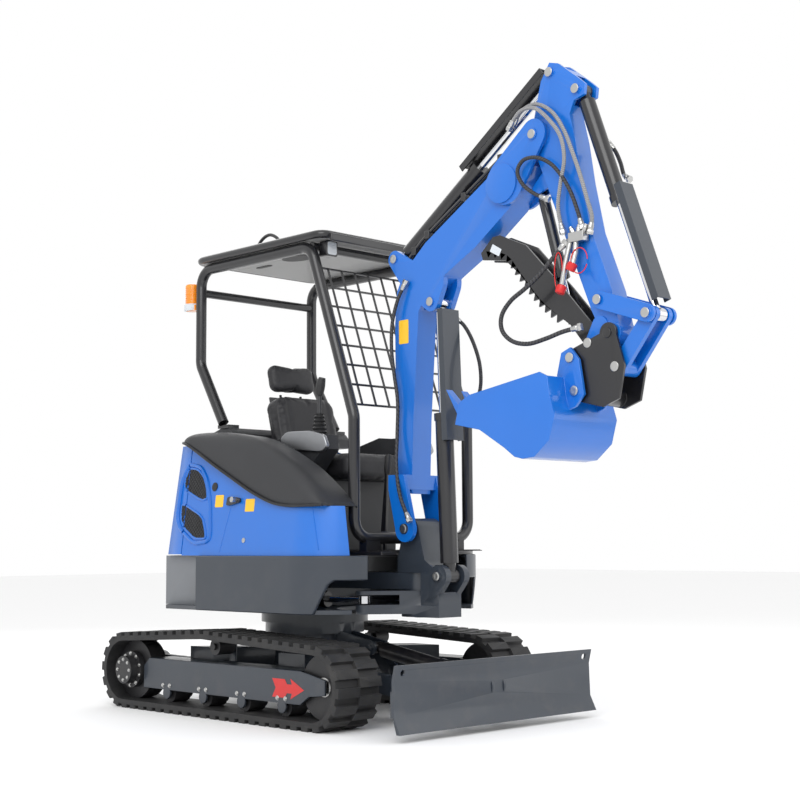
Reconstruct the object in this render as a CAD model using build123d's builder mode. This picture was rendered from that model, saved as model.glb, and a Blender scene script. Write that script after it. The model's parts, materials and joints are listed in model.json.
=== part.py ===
"""Mini excavator on rubber tracks, 2-tonne class. Millimetres.

X runs forward towards the dozer blade, Y to the operator's left, Z up.
The origin is on the floor, on the axis that the house slews about.
"""

import os
from math import atan2, cos, degrees, radians, sin

from build123d import *

os.makedirs("parts", exist_ok=True)

# Clearances
SEAT_GAP = 0.3
ROD_FIT = 0.05
SIDE_GAP = 6.0
PANEL_GAP = 6.0

# Tracks
TRACK_Y = 520.0
SHOE_WIDTH = 260.0
SPROCKET_X = -755.0
IDLER_X = 715.0
WHEEL_R = 148.0
BELT_T = 24.0
LUG_H = 18.0
LUG_ROOT = 44.0
LUG_TIP = 30.0
LUG_COUNT = 54
CARRIER_X = -85.0
CARRIER_R = 40.0
WHEEL_Z = WHEEL_R + BELT_T + LUG_H
CARRIER_Z = WHEEL_Z + 143.0
ROLLER_R = 46.0
ROLLER_PITCH = 300.0
ROLLER_COUNT = 4
ROLLER_WIDTH = 96.0
WHEEL_WIDTH = 92.0
AXLE_R = 16.0

# Track frames
BEAM_HALF = 72.0
BEAM_PLATE = 12.0
BEAM_TOP = 256.0
BEAM_BOTTOM = 104.0
BEAM_REAR = -648.0
BEAM_FRONT = 640.0
SCALLOP_R = 46.0
HUB_R = 70.0
HUB_FLANGE_R = 92.0
MOTOR_R = 88.0

# Car body and slew ring
CAR_TOP = 440.0
CAR_DISH_R = 250.0
CAR_DISH_Z = 385.0
CAR_CORE_R = 215.0
LEG_Z = 205.0
LEG_H = 110.0
LEG_WIDTH = 150.0
LEG_ANGLE = 52.0
RING_R = 270.0
RING_BORE = 170.0
RING_H = 44.0
HOUSE_Z = 505.0

# Dozer blade
BLADE_PIVOT = (400.0, 200.0)
BLADE_HALF = 650.0
BLADE_TOP = (1262.0, 320.0)
BLADE_FOLD = (1246.0, 255.0)
BLADE_BEND = (1251.0, 105.0)
BLADE_LIP = (1286.0, 36.0)
BLADE_T = 10.0
BLADE_ARM_Y = 205.0
BLADE_ARM_W = 50.0
BLADE_ARM_H = 78.0
BLADE_BOX_D = 58.0
BLADE_TIE_Z = 130.0
BLADE_CYL_FOOT = (462.0, 325.0)
BLADE_CYL_EYE = (1128.0, 215.0)
SHACKLE_R = 14.0
SHACKLE_Y = 600.0
SHACKLE_Z = 288.0

# House
TAIL_R = 770.0
HOUSE_HALF = 570.0
HOUSE_FRONT = 760.0
HOUSE_CORNER = 300.0
FLOOR_T = 20.0
SKIRT_TOP = 772.0
SKIRT_LEDGE = 660.0
SKIRT_T = 14.0
SKIRT_END_Y = 330.0
SKIRT_CUT_X = 655.0
COVER_Z = SKIRT_TOP + SEAT_GAP
SKIRT_LIP = 46.0
SKIRT_LIP_T = 12.0
COVER_TAPER = 7.0
COVER_T = 12.0
COVER_INSET = 22.0
COVER_TOP = 1350.0
SWING_X = 765.0
SWING_PIN_R = 32.0
NOSE_Z0 = 540.0
NOSE_Z1 = 690.0

# Boom, arm and tool pins, each as (x, z)
BOOM_FOOT = (775.0, 895.0)
BOOM_CYL_FOOT = (955.0, 675.0)
BOOM_CYL_EYE = (905.0, 1962.0)
BOOM_TIP = (1565.0, 2630.0)
ARM_CYL_FOOT = (660.0, 2200.0)
ARM_CYL_EYE = (1645.0, 2899.0)
BUCKET_CYL_FOOT = (1791.0, 2791.0)
ROCKER_PIN = (1911.0, 1846.0)
GUIDE_PIN = (2158.0, 1761.0)
HITCH_PIN = (1958.0, 1700.0)
LINK_PIN = (1991.0, 1555.0)
HITCH_TAIL = (1968.0, 1457.0)
BUCKET_PIN_A = (1775.0, 1610.0)
BUCKET_PIN_B = (1797.0, 1466.0)
THUMB_PIN = (1850.0, 1668.0)
THUMB_EYE = (1697.0, 1850.0)
THUMB_CYL_FOOT = (1545.0, 2395.0)

# Widths across the machine, each half of the whole
BOOM_HALF = 62.0
FOOT_HALF = 118.0
FOOT_PLATE = 22.0
TIP_PLATE = 16.0
ARM_HALF = 50.0
ARM_BOSS_HALF = 60.0
EYE_HALF = 24.0
CLEVIS_IN = 32.0
BARREL_SLOT = 46.0
LINK_OUT = 56.0
ROCKER_IN = 66.0
ROCKER_OUT = 80.0
PLATE_CAP = 10.0
BUCKET_HALF = 215.0
EAR_IN = 88.0
EAR_OUT = 104.0
THUMB_IN = 34.0
THUMB_OUT = 46.0

# Canopy
CANOPY_Y = 114.0
CANOPY_HALF = 389.0
TUBE_R = 28.0
HOOP_X = 600.0
HOOP_Z = 853.0
HOOP_BEND_Z = 1430.0
ROOF_X0 = -610.0
ROOF_X1 = 290.0
ROOF_Z = 2290.0
REAR_BEND_Z = 1780.0
REAR_FOOT = (-410.0, 1458.0)
TUBE_BEND = 90.0

# Seat
SEAT_Y = CANOPY_Y
SEAT_Z = 1150.0
CUSHION_T = 120.0
BACK_T = 110.0
HEADREST_UP = 471.0
HEADREST_H = 165.0
RECLINE = Plane(origin=(-125, SEAT_Y, SEAT_Z + CUSHION_T + SEAT_GAP), x_dir=(0, 1, 0), z_dir=(-0.97, 0, -0.24))
RECLINE_UP = Plane(origin=RECLINE.origin, x_dir=(0, 1, 0), z_dir=(-0.24, 0, 0.97))


def side(y):
    """Plane at a distance y from the middle, drawn in X and Z, extruding towards the right."""
    return Plane(origin=(0, y, 0), x_dir=(1, 0, 0), z_dir=(0, -1, 0))


def point(pin, y=0.0):
    """A pin centre as a 3-D point."""
    return Vector(pin[0], y, pin[1])


def pair(inner, outer):
    """Start planes of a left and a right plate between two distances from the middle."""
    return (side(outer), side(-inner))


def strap(first, second, first_r, second_r):
    """Outline of a link: two round ends joined by straight edges."""
    with BuildSketch() as outline:
        with Locations(first):
            Circle(first_r)
        with Locations(second):
            Circle(second_r)
        make_hull()
    return outline.sketch


def slot(first, second, start, stop, half_depth):
    """Outline of a straight strip beside the line from one pin towards another."""
    run = (point(second) - point(first)).normalized()
    middle = (start + stop) / 2
    with BuildSketch() as outline:
        with Locations(Location((first[0] + run.X * middle, first[1] + run.Z * middle), degrees(atan2(run.Z, run.X)))):
            Rectangle(stop - start, 2 * half_depth)
    return outline.sketch


def finish(builder, name):
    """Label a piece and write it."""
    builder.part.label = name
    export_step(builder.part, f"parts/{name}.step")


def hydraulic_cylinder(name, foot, eye, pin_axis, pin_r, bore_r, rod_r, barrel_end, rod_length, eye_r, eye_half):
    """Barrel and rod of one cylinder, between its foot pin and its rod's eye."""
    run = (eye - foot).normalized()

    def across(distance):
        return Plane(origin=foot + run * distance, x_dir=pin_axis, z_dir=run)

    reach = (eye - foot).length
    wall = 8.0
    cap = eye_r + 34.0
    gland = 34.0
    with BuildPart() as barrel:
        with BuildSketch(Plane(origin=foot, x_dir=run, z_dir=pin_axis)):
            Circle(eye_r)
        extrude(amount=eye_half, both=True)
        with BuildSketch(across(0)):
            Circle(min(bore_r - 2, eye_half))
        extrude(amount=cap)
        with BuildSketch(Plane(origin=foot, x_dir=run, z_dir=pin_axis)):
            Circle(pin_r + ROD_FIT)
        extrude(amount=bore_r + eye_half, both=True, mode=Mode.SUBTRACT)
        with BuildSketch(across(cap - wall)):
            Circle(bore_r + wall)
        extrude(amount=barrel_end - cap + wall)
        with BuildSketch(across(barrel_end - gland)):
            Circle(bore_r + wall + 5)
        extrude(amount=gland)
        with BuildSketch(across(cap)):
            Circle(bore_r)
        extrude(amount=barrel_end - cap - gland, mode=Mode.SUBTRACT)
        with BuildSketch(across(barrel_end - gland)):
            Circle(rod_r + ROD_FIT)
        extrude(amount=gland, mode=Mode.SUBTRACT)
    with BuildPart() as rod:
        with BuildSketch(across(reach - rod_length)):
            Circle(rod_r)
        extrude(amount=rod_length)
        with BuildSketch(Plane(origin=eye, x_dir=run, z_dir=pin_axis)):
            Circle(eye_r)
        extrude(amount=eye_half, both=True)
    finish(barrel, f"{name}_cylinder_barrel")
    return rod


# Rubber tracks: the belt is the hull of its three wheels, with block lugs in two staggered rows
def loop_outline(wheel_r, carrier_r):
    with BuildSketch() as loop:
        with Locations((SPROCKET_X, WHEEL_Z), (IDLER_X, WHEEL_Z)):
            Circle(wheel_r)
        with Locations((CARRIER_X, CARRIER_Z)):
            Circle(carrier_r)
        make_hull()
    return loop.sketch


belt_inside = loop_outline(WHEEL_R, CARRIER_R)
belt_outside = loop_outline(WHEEL_R + BELT_T, CARRIER_R + BELT_T)
belt_edge = belt_outside.face().outer_wire()


def lug_places(phase):
    places = []
    for index in range(LUG_COUNT):
        at = (index + phase) / LUG_COUNT
        spot = belt_edge.position_at(at)
        along = belt_edge.tangent_at(at)
        places.append(Location((spot.X, spot.Y, 0), (0, 0, degrees(atan2(along.Y, along.X)))))
    return places


for name, middle in (("track_right", -TRACK_Y), ("track_left", TRACK_Y)):
    with BuildPart() as track:
        for lane, phase in ((0, 0.0), (1, 0.5)):
            with BuildSketch(side(middle + SHOE_WIDTH / 2 - lane * SHOE_WIDTH / 2)):
                add(belt_outside)
                with Locations(*lug_places(phase)):
                    Rectangle(LUG_ROOT, 2 * LUG_H)
                add(belt_inside, mode=Mode.SUBTRACT)
            extrude(amount=SHOE_WIDTH / 2)
    finish(track, name)

# Wheels that the belt runs on: sprocket with its final drive, idler, carrier roller and track rollers
ROLLER_Z = WHEEL_Z - WHEEL_R + ROLLER_R + SEAT_GAP
roller_xs = [(index - (ROLLER_COUNT - 1) / 2) * ROLLER_PITCH for index in range(ROLLER_COUNT)]
for name, way in (("right", -1), ("left", 1)):
    middle = way * TRACK_Y
    with BuildPart() as wheels:
        with BuildSketch(side(middle + WHEEL_WIDTH / 2)):
            with Locations((SPROCKET_X, WHEEL_Z), (IDLER_X, WHEEL_Z)):
                Circle(WHEEL_R - SEAT_GAP)
            with Locations((CARRIER_X, CARRIER_Z)):
                Circle(CARRIER_R - SEAT_GAP)
        extrude(amount=WHEEL_WIDTH)
        with BuildSketch(side(middle + ROLLER_WIDTH / 2)):
            with Locations(*[(x, ROLLER_Z) for x in roller_xs]):
                Circle(ROLLER_R)
        extrude(amount=ROLLER_WIDTH)
        with BuildSketch(side(middle)):
            with Locations(*[(x, ROLLER_Z) for x in roller_xs], (IDLER_X, WHEEL_Z)):
                Circle(AXLE_R)
        extrude(amount=BEAM_HALF - BEAM_PLATE - SEAT_GAP, both=True)
        with BuildSketch(side(max(way * 430, way * 645))):
            with Locations((SPROCKET_X, WHEEL_Z)):
                Circle(HUB_R)
        extrude(amount=215)
        with BuildSketch(side(max(way * 572, way * 600))):
            with Locations((SPROCKET_X, WHEEL_Z)):
                Circle(HUB_FLANGE_R)
        extrude(amount=28)
        with BuildSketch(side(middle)):
            with Locations((CARRIER_X, CARRIER_Z)):
                Circle(AXLE_R)
        extrude(amount=BEAM_HALF - BEAM_PLATE - SEAT_GAP, both=True)
    finish(wheels, f"rollers_{name}")

# Track frames: an upside-down channel over the rollers, scalloped between them, with the idler's fork
for name, way in (("right", -1), ("left", 1)):
    middle = way * TRACK_Y
    with BuildPart() as beam:
        with BuildSketch(side(middle + BEAM_HALF)):
            with BuildLine():
                Polyline(
                    (BEAM_REAR, BEAM_BOTTOM), (BEAM_FRONT - 60, BEAM_BOTTOM), (BEAM_FRONT, BEAM_BOTTOM + 40),
                    (IDLER_X + 34, WHEEL_Z - 34), (IDLER_X + 34, WHEEL_Z + 34), (BEAM_FRONT, BEAM_TOP - 10),
                    (BEAM_FRONT - 60, BEAM_TOP), (BEAM_REAR + 50, BEAM_TOP), (BEAM_REAR, BEAM_TOP - 40), close=True,
                )
            make_face()
            with Locations(*[(x, ROLLER_Z) for x in roller_xs]):
                Circle(AXLE_R + 14)
        extrude(amount=2 * BEAM_HALF)
        with BuildSketch(side(middle + BEAM_HALF - BEAM_PLATE)):
            with Locations(((BEAM_REAR + BEAM_FRONT) / 2 - BEAM_PLATE, (BEAM_TOP - BEAM_PLATE) / 2)):
                Rectangle(BEAM_FRONT - BEAM_REAR, BEAM_TOP - BEAM_PLATE)
            with Locations((IDLER_X, WHEEL_Z)):
                Circle(WHEEL_R + SIDE_GAP)
        extrude(amount=2 * (BEAM_HALF - BEAM_PLATE), mode=Mode.SUBTRACT)
        with BuildSketch(side(max(way * 392, way * 428))):
            with BuildLine():
                Polyline(
                    (SPROCKET_X - 60, WHEEL_Z - 70), (BEAM_REAR + 160, WHEEL_Z - 80), (BEAM_REAR + 160, BEAM_TOP),
                    (SPROCKET_X - 60, WHEEL_Z + 70), close=True,
                )
            make_face()
            with Locations((SPROCKET_X, WHEEL_Z)):
                Circle(MOTOR_R)
        extrude(amount=36)
        with BuildSketch(Plane.XY.offset(WHEEL_Z - 60)):
            with Locations((BEAM_REAR + 100, way * (428 + TRACK_Y - BEAM_HALF) / 2)):
                Rectangle(110, TRACK_Y - BEAM_HALF - 428)
        extrude(amount=100)
        with BuildSketch(Plane.XY.offset(BEAM_TOP)):
            with Locations((CARRIER_X, way * (TRACK_Y - BEAM_HALF + BEAM_PLATE / 2))):
                Rectangle(50, BEAM_PLATE)
        extrude(amount=CARRIER_Z + 20 - BEAM_TOP)
    finish(beam, f"track_frame_{name}")

# Car body: a centre tub on four legs, with the blade's hinge plates at the front
BEAM_INNER = TRACK_Y - BEAM_HALF
with BuildPart() as car_body:
    with BuildSketch(Plane.XY.offset(LEG_Z)):
        for angle in (LEG_ANGLE, -LEG_ANGLE):
            with Locations(Location((0, 0), angle)):
                Rectangle(2 * BEAM_INNER / sin(radians(LEG_ANGLE)) + 200, LEG_WIDTH)
        Rectangle(4 * BEAM_INNER, 2 * BEAM_INNER, mode=Mode.INTERSECT)
    extrude(amount=LEG_H)
    with BuildSketch(Plane.XY.offset(LEG_Z)):
        Circle(CAR_CORE_R)
    extrude(amount=CAR_DISH_Z - LEG_Z)
    with BuildSketch(Plane.XY.offset(CAR_DISH_Z)):
        Circle(CAR_DISH_R)
    extrude(amount=CAR_TOP - CAR_DISH_Z)
    with BuildSketch(Plane.XY.offset(LEG_Z + 20)):
        Circle(RING_BORE - 30)
    extrude(amount=CAR_TOP, mode=Mode.SUBTRACT)
    for way in (-1, 1):
        with BuildSketch(side(way * BLADE_ARM_Y + BLADE_ARM_W / 2 + SIDE_GAP + 14)):
            add(strap((250, 290), BLADE_PIVOT, 50, 42))
        extrude(amount=2 * (BLADE_ARM_W / 2 + SIDE_GAP + 14))
        with BuildSketch(side(way * BLADE_ARM_Y + BLADE_ARM_W / 2 + SIDE_GAP)):
            with Locations(BLADE_PIVOT):
                Circle(62)
        extrude(amount=2 * (BLADE_ARM_W / 2 + SIDE_GAP), mode=Mode.SUBTRACT)
        with BuildSketch(side(way * BLADE_ARM_Y + BLADE_ARM_W / 2 + SIDE_GAP + 22)):
            with Locations(BLADE_PIVOT):
                Circle(20)
        extrude(amount=2 * (BLADE_ARM_W / 2 + SIDE_GAP + 22))
    for plane in pair(CLEVIS_IN, CLEVIS_IN + 14):
        with BuildSketch(plane):
            add(strap((234, 338), BLADE_CYL_FOOT, 60, 34))
        extrude(amount=14)
    with BuildSketch(side(CLEVIS_IN + 24)):
        with Locations(BLADE_CYL_FOOT):
            Circle(16)
    extrude(amount=2 * (CLEVIS_IN + 24))
finish(car_body, "car_body")

with BuildPart() as slew_ring:
    with BuildSketch(Plane.XY.offset(CAR_TOP)):
        Circle(RING_R)
        Circle(RING_BORE, mode=Mode.SUBTRACT)
    extrude(amount=RING_H)
finish(slew_ring, "slew_ring")

# Dozer blade: rolled moldboard, torsion box and two arms on the hinge pins
with BuildPart() as dozer_blade:
    with BuildSketch(side(BLADE_HALF)):
        with BuildLine():
            Polyline(
                BLADE_TOP, BLADE_FOLD, BLADE_BEND, BLADE_LIP, (BLADE_LIP[0] - 22, BLADE_LIP[1]),
                (BLADE_BEND[0] - BLADE_T, BLADE_BEND[1]), (BLADE_FOLD[0] - BLADE_T, BLADE_FOLD[1]),
                (BLADE_TOP[0] - BLADE_T, BLADE_TOP[1]), close=True,
            )
        make_face()
    extrude(amount=2 * BLADE_HALF)
    with BuildSketch(side(BLADE_HALF - 40)):
        with Locations((BLADE_BEND[0] - BLADE_T - BLADE_BOX_D / 2 + 4, 150)):
            Rectangle(BLADE_BOX_D, 110)
    extrude(amount=2 * (BLADE_HALF - 40))
    for way in (-1, 1):
        with BuildSketch(side(way * BLADE_ARM_Y + BLADE_ARM_W / 2)):
            with BuildLine():
                Polyline(
                    (BLADE_PIVOT[0], BLADE_PIVOT[1] - BLADE_ARM_H / 2), (BLADE_BEND[0] - BLADE_BOX_D, 100),
                    (BLADE_BEND[0] - BLADE_BOX_D, 205), (BLADE_PIVOT[0], BLADE_PIVOT[1] + BLADE_ARM_H / 2), close=True,
                )
            make_face()
            with Locations(BLADE_PIVOT):
                Circle(BLADE_ARM_H / 2)
                Circle(20 + ROD_FIT, mode=Mode.SUBTRACT)
        extrude(amount=BLADE_ARM_W)
    with BuildSketch(Plane.XY.offset(BLADE_TIE_Z)):
        with Locations((840, 0)):
            Rectangle(120, 2 * BLADE_ARM_Y)
    extrude(amount=50)
    for plane in pair(CLEVIS_IN, CLEVIS_IN + 14):
        with BuildSketch(plane):
            add(strap((BLADE_FOLD[0] - 40, 190), BLADE_CYL_EYE, 50, 32))
        extrude(amount=14)
    for plane in pair(CLEVIS_IN, CLEVIS_IN + 24):
        with BuildSketch(plane):
            with Locations(BLADE_CYL_EYE):
                Circle(16)
        extrude(amount=24)
    with BuildSketch(Plane.YZ.offset(BLADE_FOLD[0] - 60)):
        with Locations((-SHACKLE_Y, SHACKLE_Z), (SHACKLE_Y, SHACKLE_Z)):
            Circle(SHACKLE_R)
    extrude(amount=100, mode=Mode.SUBTRACT)
finish(dozer_blade, "dozer_blade")

AXIS_Y = Vector(0, 1, 0)
AXIS_Z = Vector(0, 0, 1)
blade_rod = hydraulic_cylinder("blade", point(BLADE_CYL_FOOT), point(BLADE_CYL_EYE), AXIS_Y, 16, 30, 18, 470, 330, 28, EYE_HALF)
finish(blade_rod, "blade_cylinder_rod")


# House outline: a tail arc about the slew axis, straight sides and rounded front corners
def house_outline(inset):
    with BuildSketch() as outline:
        Circle(TAIL_R - inset)
        with Locations(((HOUSE_FRONT - inset) / 2, 0)):
            Rectangle(HOUSE_FRONT - inset, 2 * TAIL_R)
        with Locations(((HOUSE_FRONT - inset) - TAIL_R, 0)):
            Rectangle(2 * TAIL_R, 2 * (HOUSE_HALF - inset), mode=Mode.INTERSECT)
        corners = outline.vertices().group_by(Axis.X)[-1]
        fillet(corners, HOUSE_CORNER - inset)
    return outline.sketch


with BuildPart() as revolving_frame:
    with BuildSketch(Plane.XY.offset(HOUSE_Z)):
        add(house_outline(SKIRT_T + SEAT_GAP))
        with Locations((SWING_X, 0)):
            Circle(400, mode=Mode.SUBTRACT)
    extrude(amount=FLOOR_T)
    with BuildSketch(Plane.XY.offset(CAR_TOP + RING_H + 0.5)):
        Circle(RING_R - 16)
        Circle(RING_BORE, mode=Mode.SUBTRACT)
    extrude(amount=HOUSE_Z - CAR_TOP - RING_H - 0.5)
    with BuildSketch(Plane.XY.offset(612)):
        with BuildLine():
            Polyline((180, -150), (SWING_X, -70), (SWING_X, 70), (180, 150), close=True)
        make_face()
    extrude(amount=NOSE_Z1 - 612)
    with BuildSketch(Plane.XY.offset(HOUSE_Z)):
        with Locations((230, 0)):
            Rectangle(60, 300)
    extrude(amount=NOSE_Z1 - HOUSE_Z)
    with BuildSketch(Plane.XY.offset(NOSE_Z0)):
        with Locations((SWING_X, 0)):
            Circle(70)
    extrude(amount=NOSE_Z1 - NOSE_Z0)
    with BuildSketch(Plane.XY.offset(NOSE_Z0)):
        with Locations((SWING_X, 0)):
            Circle(SWING_PIN_R + ROD_FIT)
    extrude(amount=NOSE_Z1 - NOSE_Z0, mode=Mode.SUBTRACT)
finish(revolving_frame, "revolving_frame")

with BuildPart() as counterweight:
    with BuildSketch(Plane.XY.offset(HOUSE_Z + 20)):
        Circle(TAIL_R)
        with Locations((-TAIL_R / 2 - 240, 0)):
            Rectangle(TAIL_R, 2 * HOUSE_HALF - 120, mode=Mode.INTERSECT)
        Circle(TAIL_R - 170, mode=Mode.SUBTRACT)
    extrude(amount=SKIRT_TOP - HOUSE_Z - 20)
    with BuildSketch(Plane.XY.offset(HOUSE_Z - 5)):
        add(house_outline(SKIRT_T))
    extrude(amount=FLOOR_T + 5 + SEAT_GAP, mode=Mode.SUBTRACT)
finish(counterweight, "counterweight")

# Side skirts: the lower band is cut away at the front, where the swing cylinder's lug passes
with BuildPart() as side_skirts:
    with BuildSketch(Plane.XY.offset(HOUSE_Z)):
        add(house_outline(0))
        add(house_outline(SKIRT_T), mode=Mode.SUBTRACT)
        with Locations((-TAIL_R / 2 - 246, 0)):
            Rectangle(TAIL_R, 2 * TAIL_R, mode=Mode.SUBTRACT)
        with Locations((HOUSE_FRONT, 0)):
            Rectangle(400, 2 * SKIRT_END_Y, mode=Mode.SUBTRACT)
    extrude(amount=SKIRT_TOP - HOUSE_Z)
    with BuildSketch(Plane.XY.offset(SKIRT_TOP - SKIRT_LIP_T)):
        add(house_outline(0))
        add(house_outline(SKIRT_LIP), mode=Mode.SUBTRACT)
        with Locations((-TAIL_R / 2 - 246, 0)):
            Rectangle(TAIL_R, 2 * TAIL_R, mode=Mode.SUBTRACT)
        with Locations((HOUSE_FRONT, 0)):
            Rectangle(400, 2 * SKIRT_END_Y, mode=Mode.SUBTRACT)
    extrude(amount=SKIRT_LIP_T)
    with BuildSketch(Plane.XZ.offset(-TAIL_R)):
        with BuildLine():
            Polyline(
                (SKIRT_CUT_X - 60, HOUSE_Z - 10), (SKIRT_CUT_X, SKIRT_LEDGE - 20), (SKIRT_CUT_X + 20, SKIRT_LEDGE),
                (HOUSE_FRONT + 50, SKIRT_LEDGE), (HOUSE_FRONT + 50, HOUSE_Z - 10), close=True,
            )
        make_face()
    extrude(amount=2 * TAIL_R, mode=Mode.SUBTRACT)
finish(side_skirts, "side_skirts")

with BuildPart() as engine_block:
    with BuildSketch(Plane.XY.offset(HOUSE_Z + FLOOR_T + SEAT_GAP)):
        with Locations((-322.3, 0)):
            Rectangle(400, 560)
    extrude(amount=460)
finish(engine_block, "engine_block")


# Body covers: one tapered shell, parted into the side covers and the rear bonnet
def cover_body(inset, height):
    with BuildPart() as body:
        with BuildSketch(Plane.XY.offset(COVER_Z)):
            add(house_outline(COVER_INSET + inset))
        extrude(amount=height, taper=COVER_TAPER)
    return body.part


COVER_H = COVER_TOP - COVER_Z
outer_cover = cover_body(0, COVER_H)
inner_cover = cover_body(COVER_T, COVER_H + 1)
SEAM = (
    (-640.0, 1345.0), (-283.0, 1318.0), (-257.0, 1268.0), (-132.0, 1200.0), (29.0, 1128.0), (185.0, 1062.0),
    (298.0, 1028.0), (409.0, 1006.0), (700.0, 1000.0),
)
CROWN = (
    (-470.0, 1352.0), (-379.0, 1392.0), (-170.0, 1396.0), (31.0, 1372.0), (187.0, 1312.0), (338.0, 1236.0),
    (447.0, 1174.0), (555.0, 1100.0), (640.0, 1012.0),
)
SEAM_GAP = 0.4
DOOR_X = -400.0
DECK_FRONT = -330.0
DOOR_Z0 = SKIRT_TOP + PANEL_GAP
DOOR_Z1 = 1330.0
HINGE = (DOOR_X + PANEL_GAP / 2, 556.0)
HINGE_R = 6.0
HINGE_Z = 880.0
HINGE_L = 60.0
with BuildPart() as right_cover:
    add(outer_cover)
    add(inner_cover, mode=Mode.SUBTRACT)
    with BuildSketch(side(-200)):
        with BuildLine():
            Polyline((DOOR_X + PANEL_GAP, COVER_Z), (DOOR_X + PANEL_GAP, 1321), *SEAM[1:], (705, COVER_Z), close=True)
        make_face()
    extrude(amount=600, mode=Mode.INTERSECT)
    with BuildSketch(Plane.XY.offset(COVER_Z)):
        with Locations((HOUSE_FRONT, 0)):
            Rectangle(400, 800, mode=Mode.ADD)
    extrude(amount=COVER_H, mode=Mode.SUBTRACT)
finish(right_cover, "right_cover")

with BuildPart() as left_cover:
    add(outer_cover)
    add(inner_cover, mode=Mode.SUBTRACT)
    with BuildSketch(side(900)):
        with BuildLine():
            Polyline((DOOR_X + PANEL_GAP, COVER_Z), (DOOR_X + PANEL_GAP, 1345), (-250, 1300), (-90, 1100), (-56, COVER_Z),
                     close=True)
        make_face()
    extrude(amount=500, mode=Mode.INTERSECT)
    with BuildSketch(Plane.XY.offset(HINGE_Z - HINGE_L)):
        with Locations(HINGE):
            Circle(2 * HINGE_R)
        with Locations((HINGE[0] + 20, HINGE[1] - 14)):
            Rectangle(34, 32)
    extrude(amount=HINGE_L)
    with BuildSketch(Plane.XY.offset(HINGE_Z)):
        with Locations(HINGE):
            Circle(HINGE_R)
    extrude(amount=HINGE_L + 10)
finish(left_cover, "left_cover")

with BuildPart() as bonnet:
    add(outer_cover)
    add(inner_cover, mode=Mode.SUBTRACT)
    with BuildSketch(side(700)):
        with BuildLine():
            Polyline((-900, DOOR_Z0), (-900, DOOR_Z1), (DOOR_X, DOOR_Z1), (DOOR_X, DOOR_Z0), close=True)
        make_face()
    extrude(amount=1400, mode=Mode.INTERSECT)
    with BuildSketch(Plane.XY.offset(HINGE_Z + 1)):
        with Locations(HINGE):
            Circle(2 * HINGE_R)
        with Locations((HINGE[0] - 20, HINGE[1] - 15)):
            Rectangle(34, 34)
        with Locations(HINGE):
            Circle(HINGE_R + ROD_FIT, mode=Mode.SUBTRACT)
    extrude(amount=HINGE_L)
finish(bonnet, "bonnet")

with BuildPart() as dome_cover:
    with BuildSketch(side(-310)):
        with BuildLine():
            Polyline(*[(x, z + SEAM_GAP) for x, z in SEAM[1:-1]], (640, 1001 + SEAM_GAP))
            Line((SEAM[1][0], SEAM[1][1] + SEAM_GAP), CROWN[0])
            Polyline(*CROWN)
            Line(CROWN[-1], (640, 1001 + SEAM_GAP))
        make_face()
    extrude(amount=205)
finish(dome_cover, "dome_cover")

with BuildPart() as rear_deck:
    with BuildSketch(side(545)):
        with BuildLine():
            Polyline(
                (-560, COVER_TOP + 2.3), (-540, 1400), (-440, 1430), (-356, 1430), (DECK_FRONT, 1400), (DECK_FRONT, COVER_TOP + 2.3),
                close=True,
            )
        make_face()
    extrude(amount=825)
finish(rear_deck, "rear_deck")

with BuildPart() as bulkhead:
    with BuildSketch(side(420)):
        with BuildLine():
            Polyline(
                (-122, HOUSE_Z + FLOOR_T + SEAT_GAP), (-110, HOUSE_Z + FLOOR_T + SEAT_GAP), (-110, SEAT_Z),
                (DECK_FRONT, SEAT_Z), (DECK_FRONT, COVER_TOP + 2), (DECK_FRONT - 12, COVER_TOP + 2),
                (DECK_FRONT - 12, SEAT_Z - 12), (-122, SEAT_Z - 12), close=True,
            )
        make_face()
    extrude(amount=700)
    with BuildSketch(RECLINE.offset(BACK_T + SEAT_GAP)):
        with Locations((0, -135)):
            Rectangle(300, 470)
    extrude(amount=10)
    for y in (-70, 70):
        with BuildSketch(RECLINE_UP.offset(300)):
            with Locations((y, BACK_T + SEAT_GAP + 7)):
                Circle(7)
        extrude(amount=HEADREST_UP - HEADREST_H / 2 - 300 - SEAT_GAP)
finish(bulkhead, "bulkhead")

with BuildPart() as operator_floor:
    with BuildSketch(Plane.XY.offset(SKIRT_TOP + SEAT_GAP)):
        add(house_outline(SKIRT_T))
        with Locations((0, 0)):
            Rectangle(4 * TAIL_R, 4 * TAIL_R, mode=Mode.PRIVATE)
        with Locations((-TAIL_R, 0)):
            Rectangle(2 * TAIL_R - 100, 2 * TAIL_R, mode=Mode.SUBTRACT)
        with Locations((0, -TAIL_R - 240)):
            Rectangle(4 * TAIL_R, 2 * TAIL_R, mode=Mode.SUBTRACT)
        with Locations((SWING_X, 0)):
            Rectangle(340, 280, mode=Mode.SUBTRACT)
    extrude(amount=16)
finish(operator_floor, "operator_floor")

with BuildPart() as seat_base:
    with BuildSketch(Plane.XY.offset(SKIRT_TOP + SEAT_GAP + 16.3)):
        with Locations((60, SEAT_Y - 30)):
            Rectangle(330, 560)
    extrude(amount=SEAT_Z - SKIRT_TOP - 17)
finish(seat_base, "seat_base")

with BuildPart() as seat_cushion:
    with BuildSketch(Plane.XY.offset(SEAT_Z)):
        with Locations((142, SEAT_Y)):
            RectangleRounded(500, 470, 60)
    extrude(amount=CUSHION_T)
    fillet(seat_cushion.faces().sort_by(Axis.Z)[-1].edges(), 35)
finish(seat_cushion, "seat_cushion")

with BuildPart() as seat_back:
    with BuildSketch(RECLINE):
        with Locations((0, -185)):
            RectangleRounded(440, 360, 90)
    extrude(amount=BACK_T)
    fillet(seat_back.edges().filter_by(GeomType.LINE, reverse=True), 20)
finish(seat_back, "seat_back")

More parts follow.
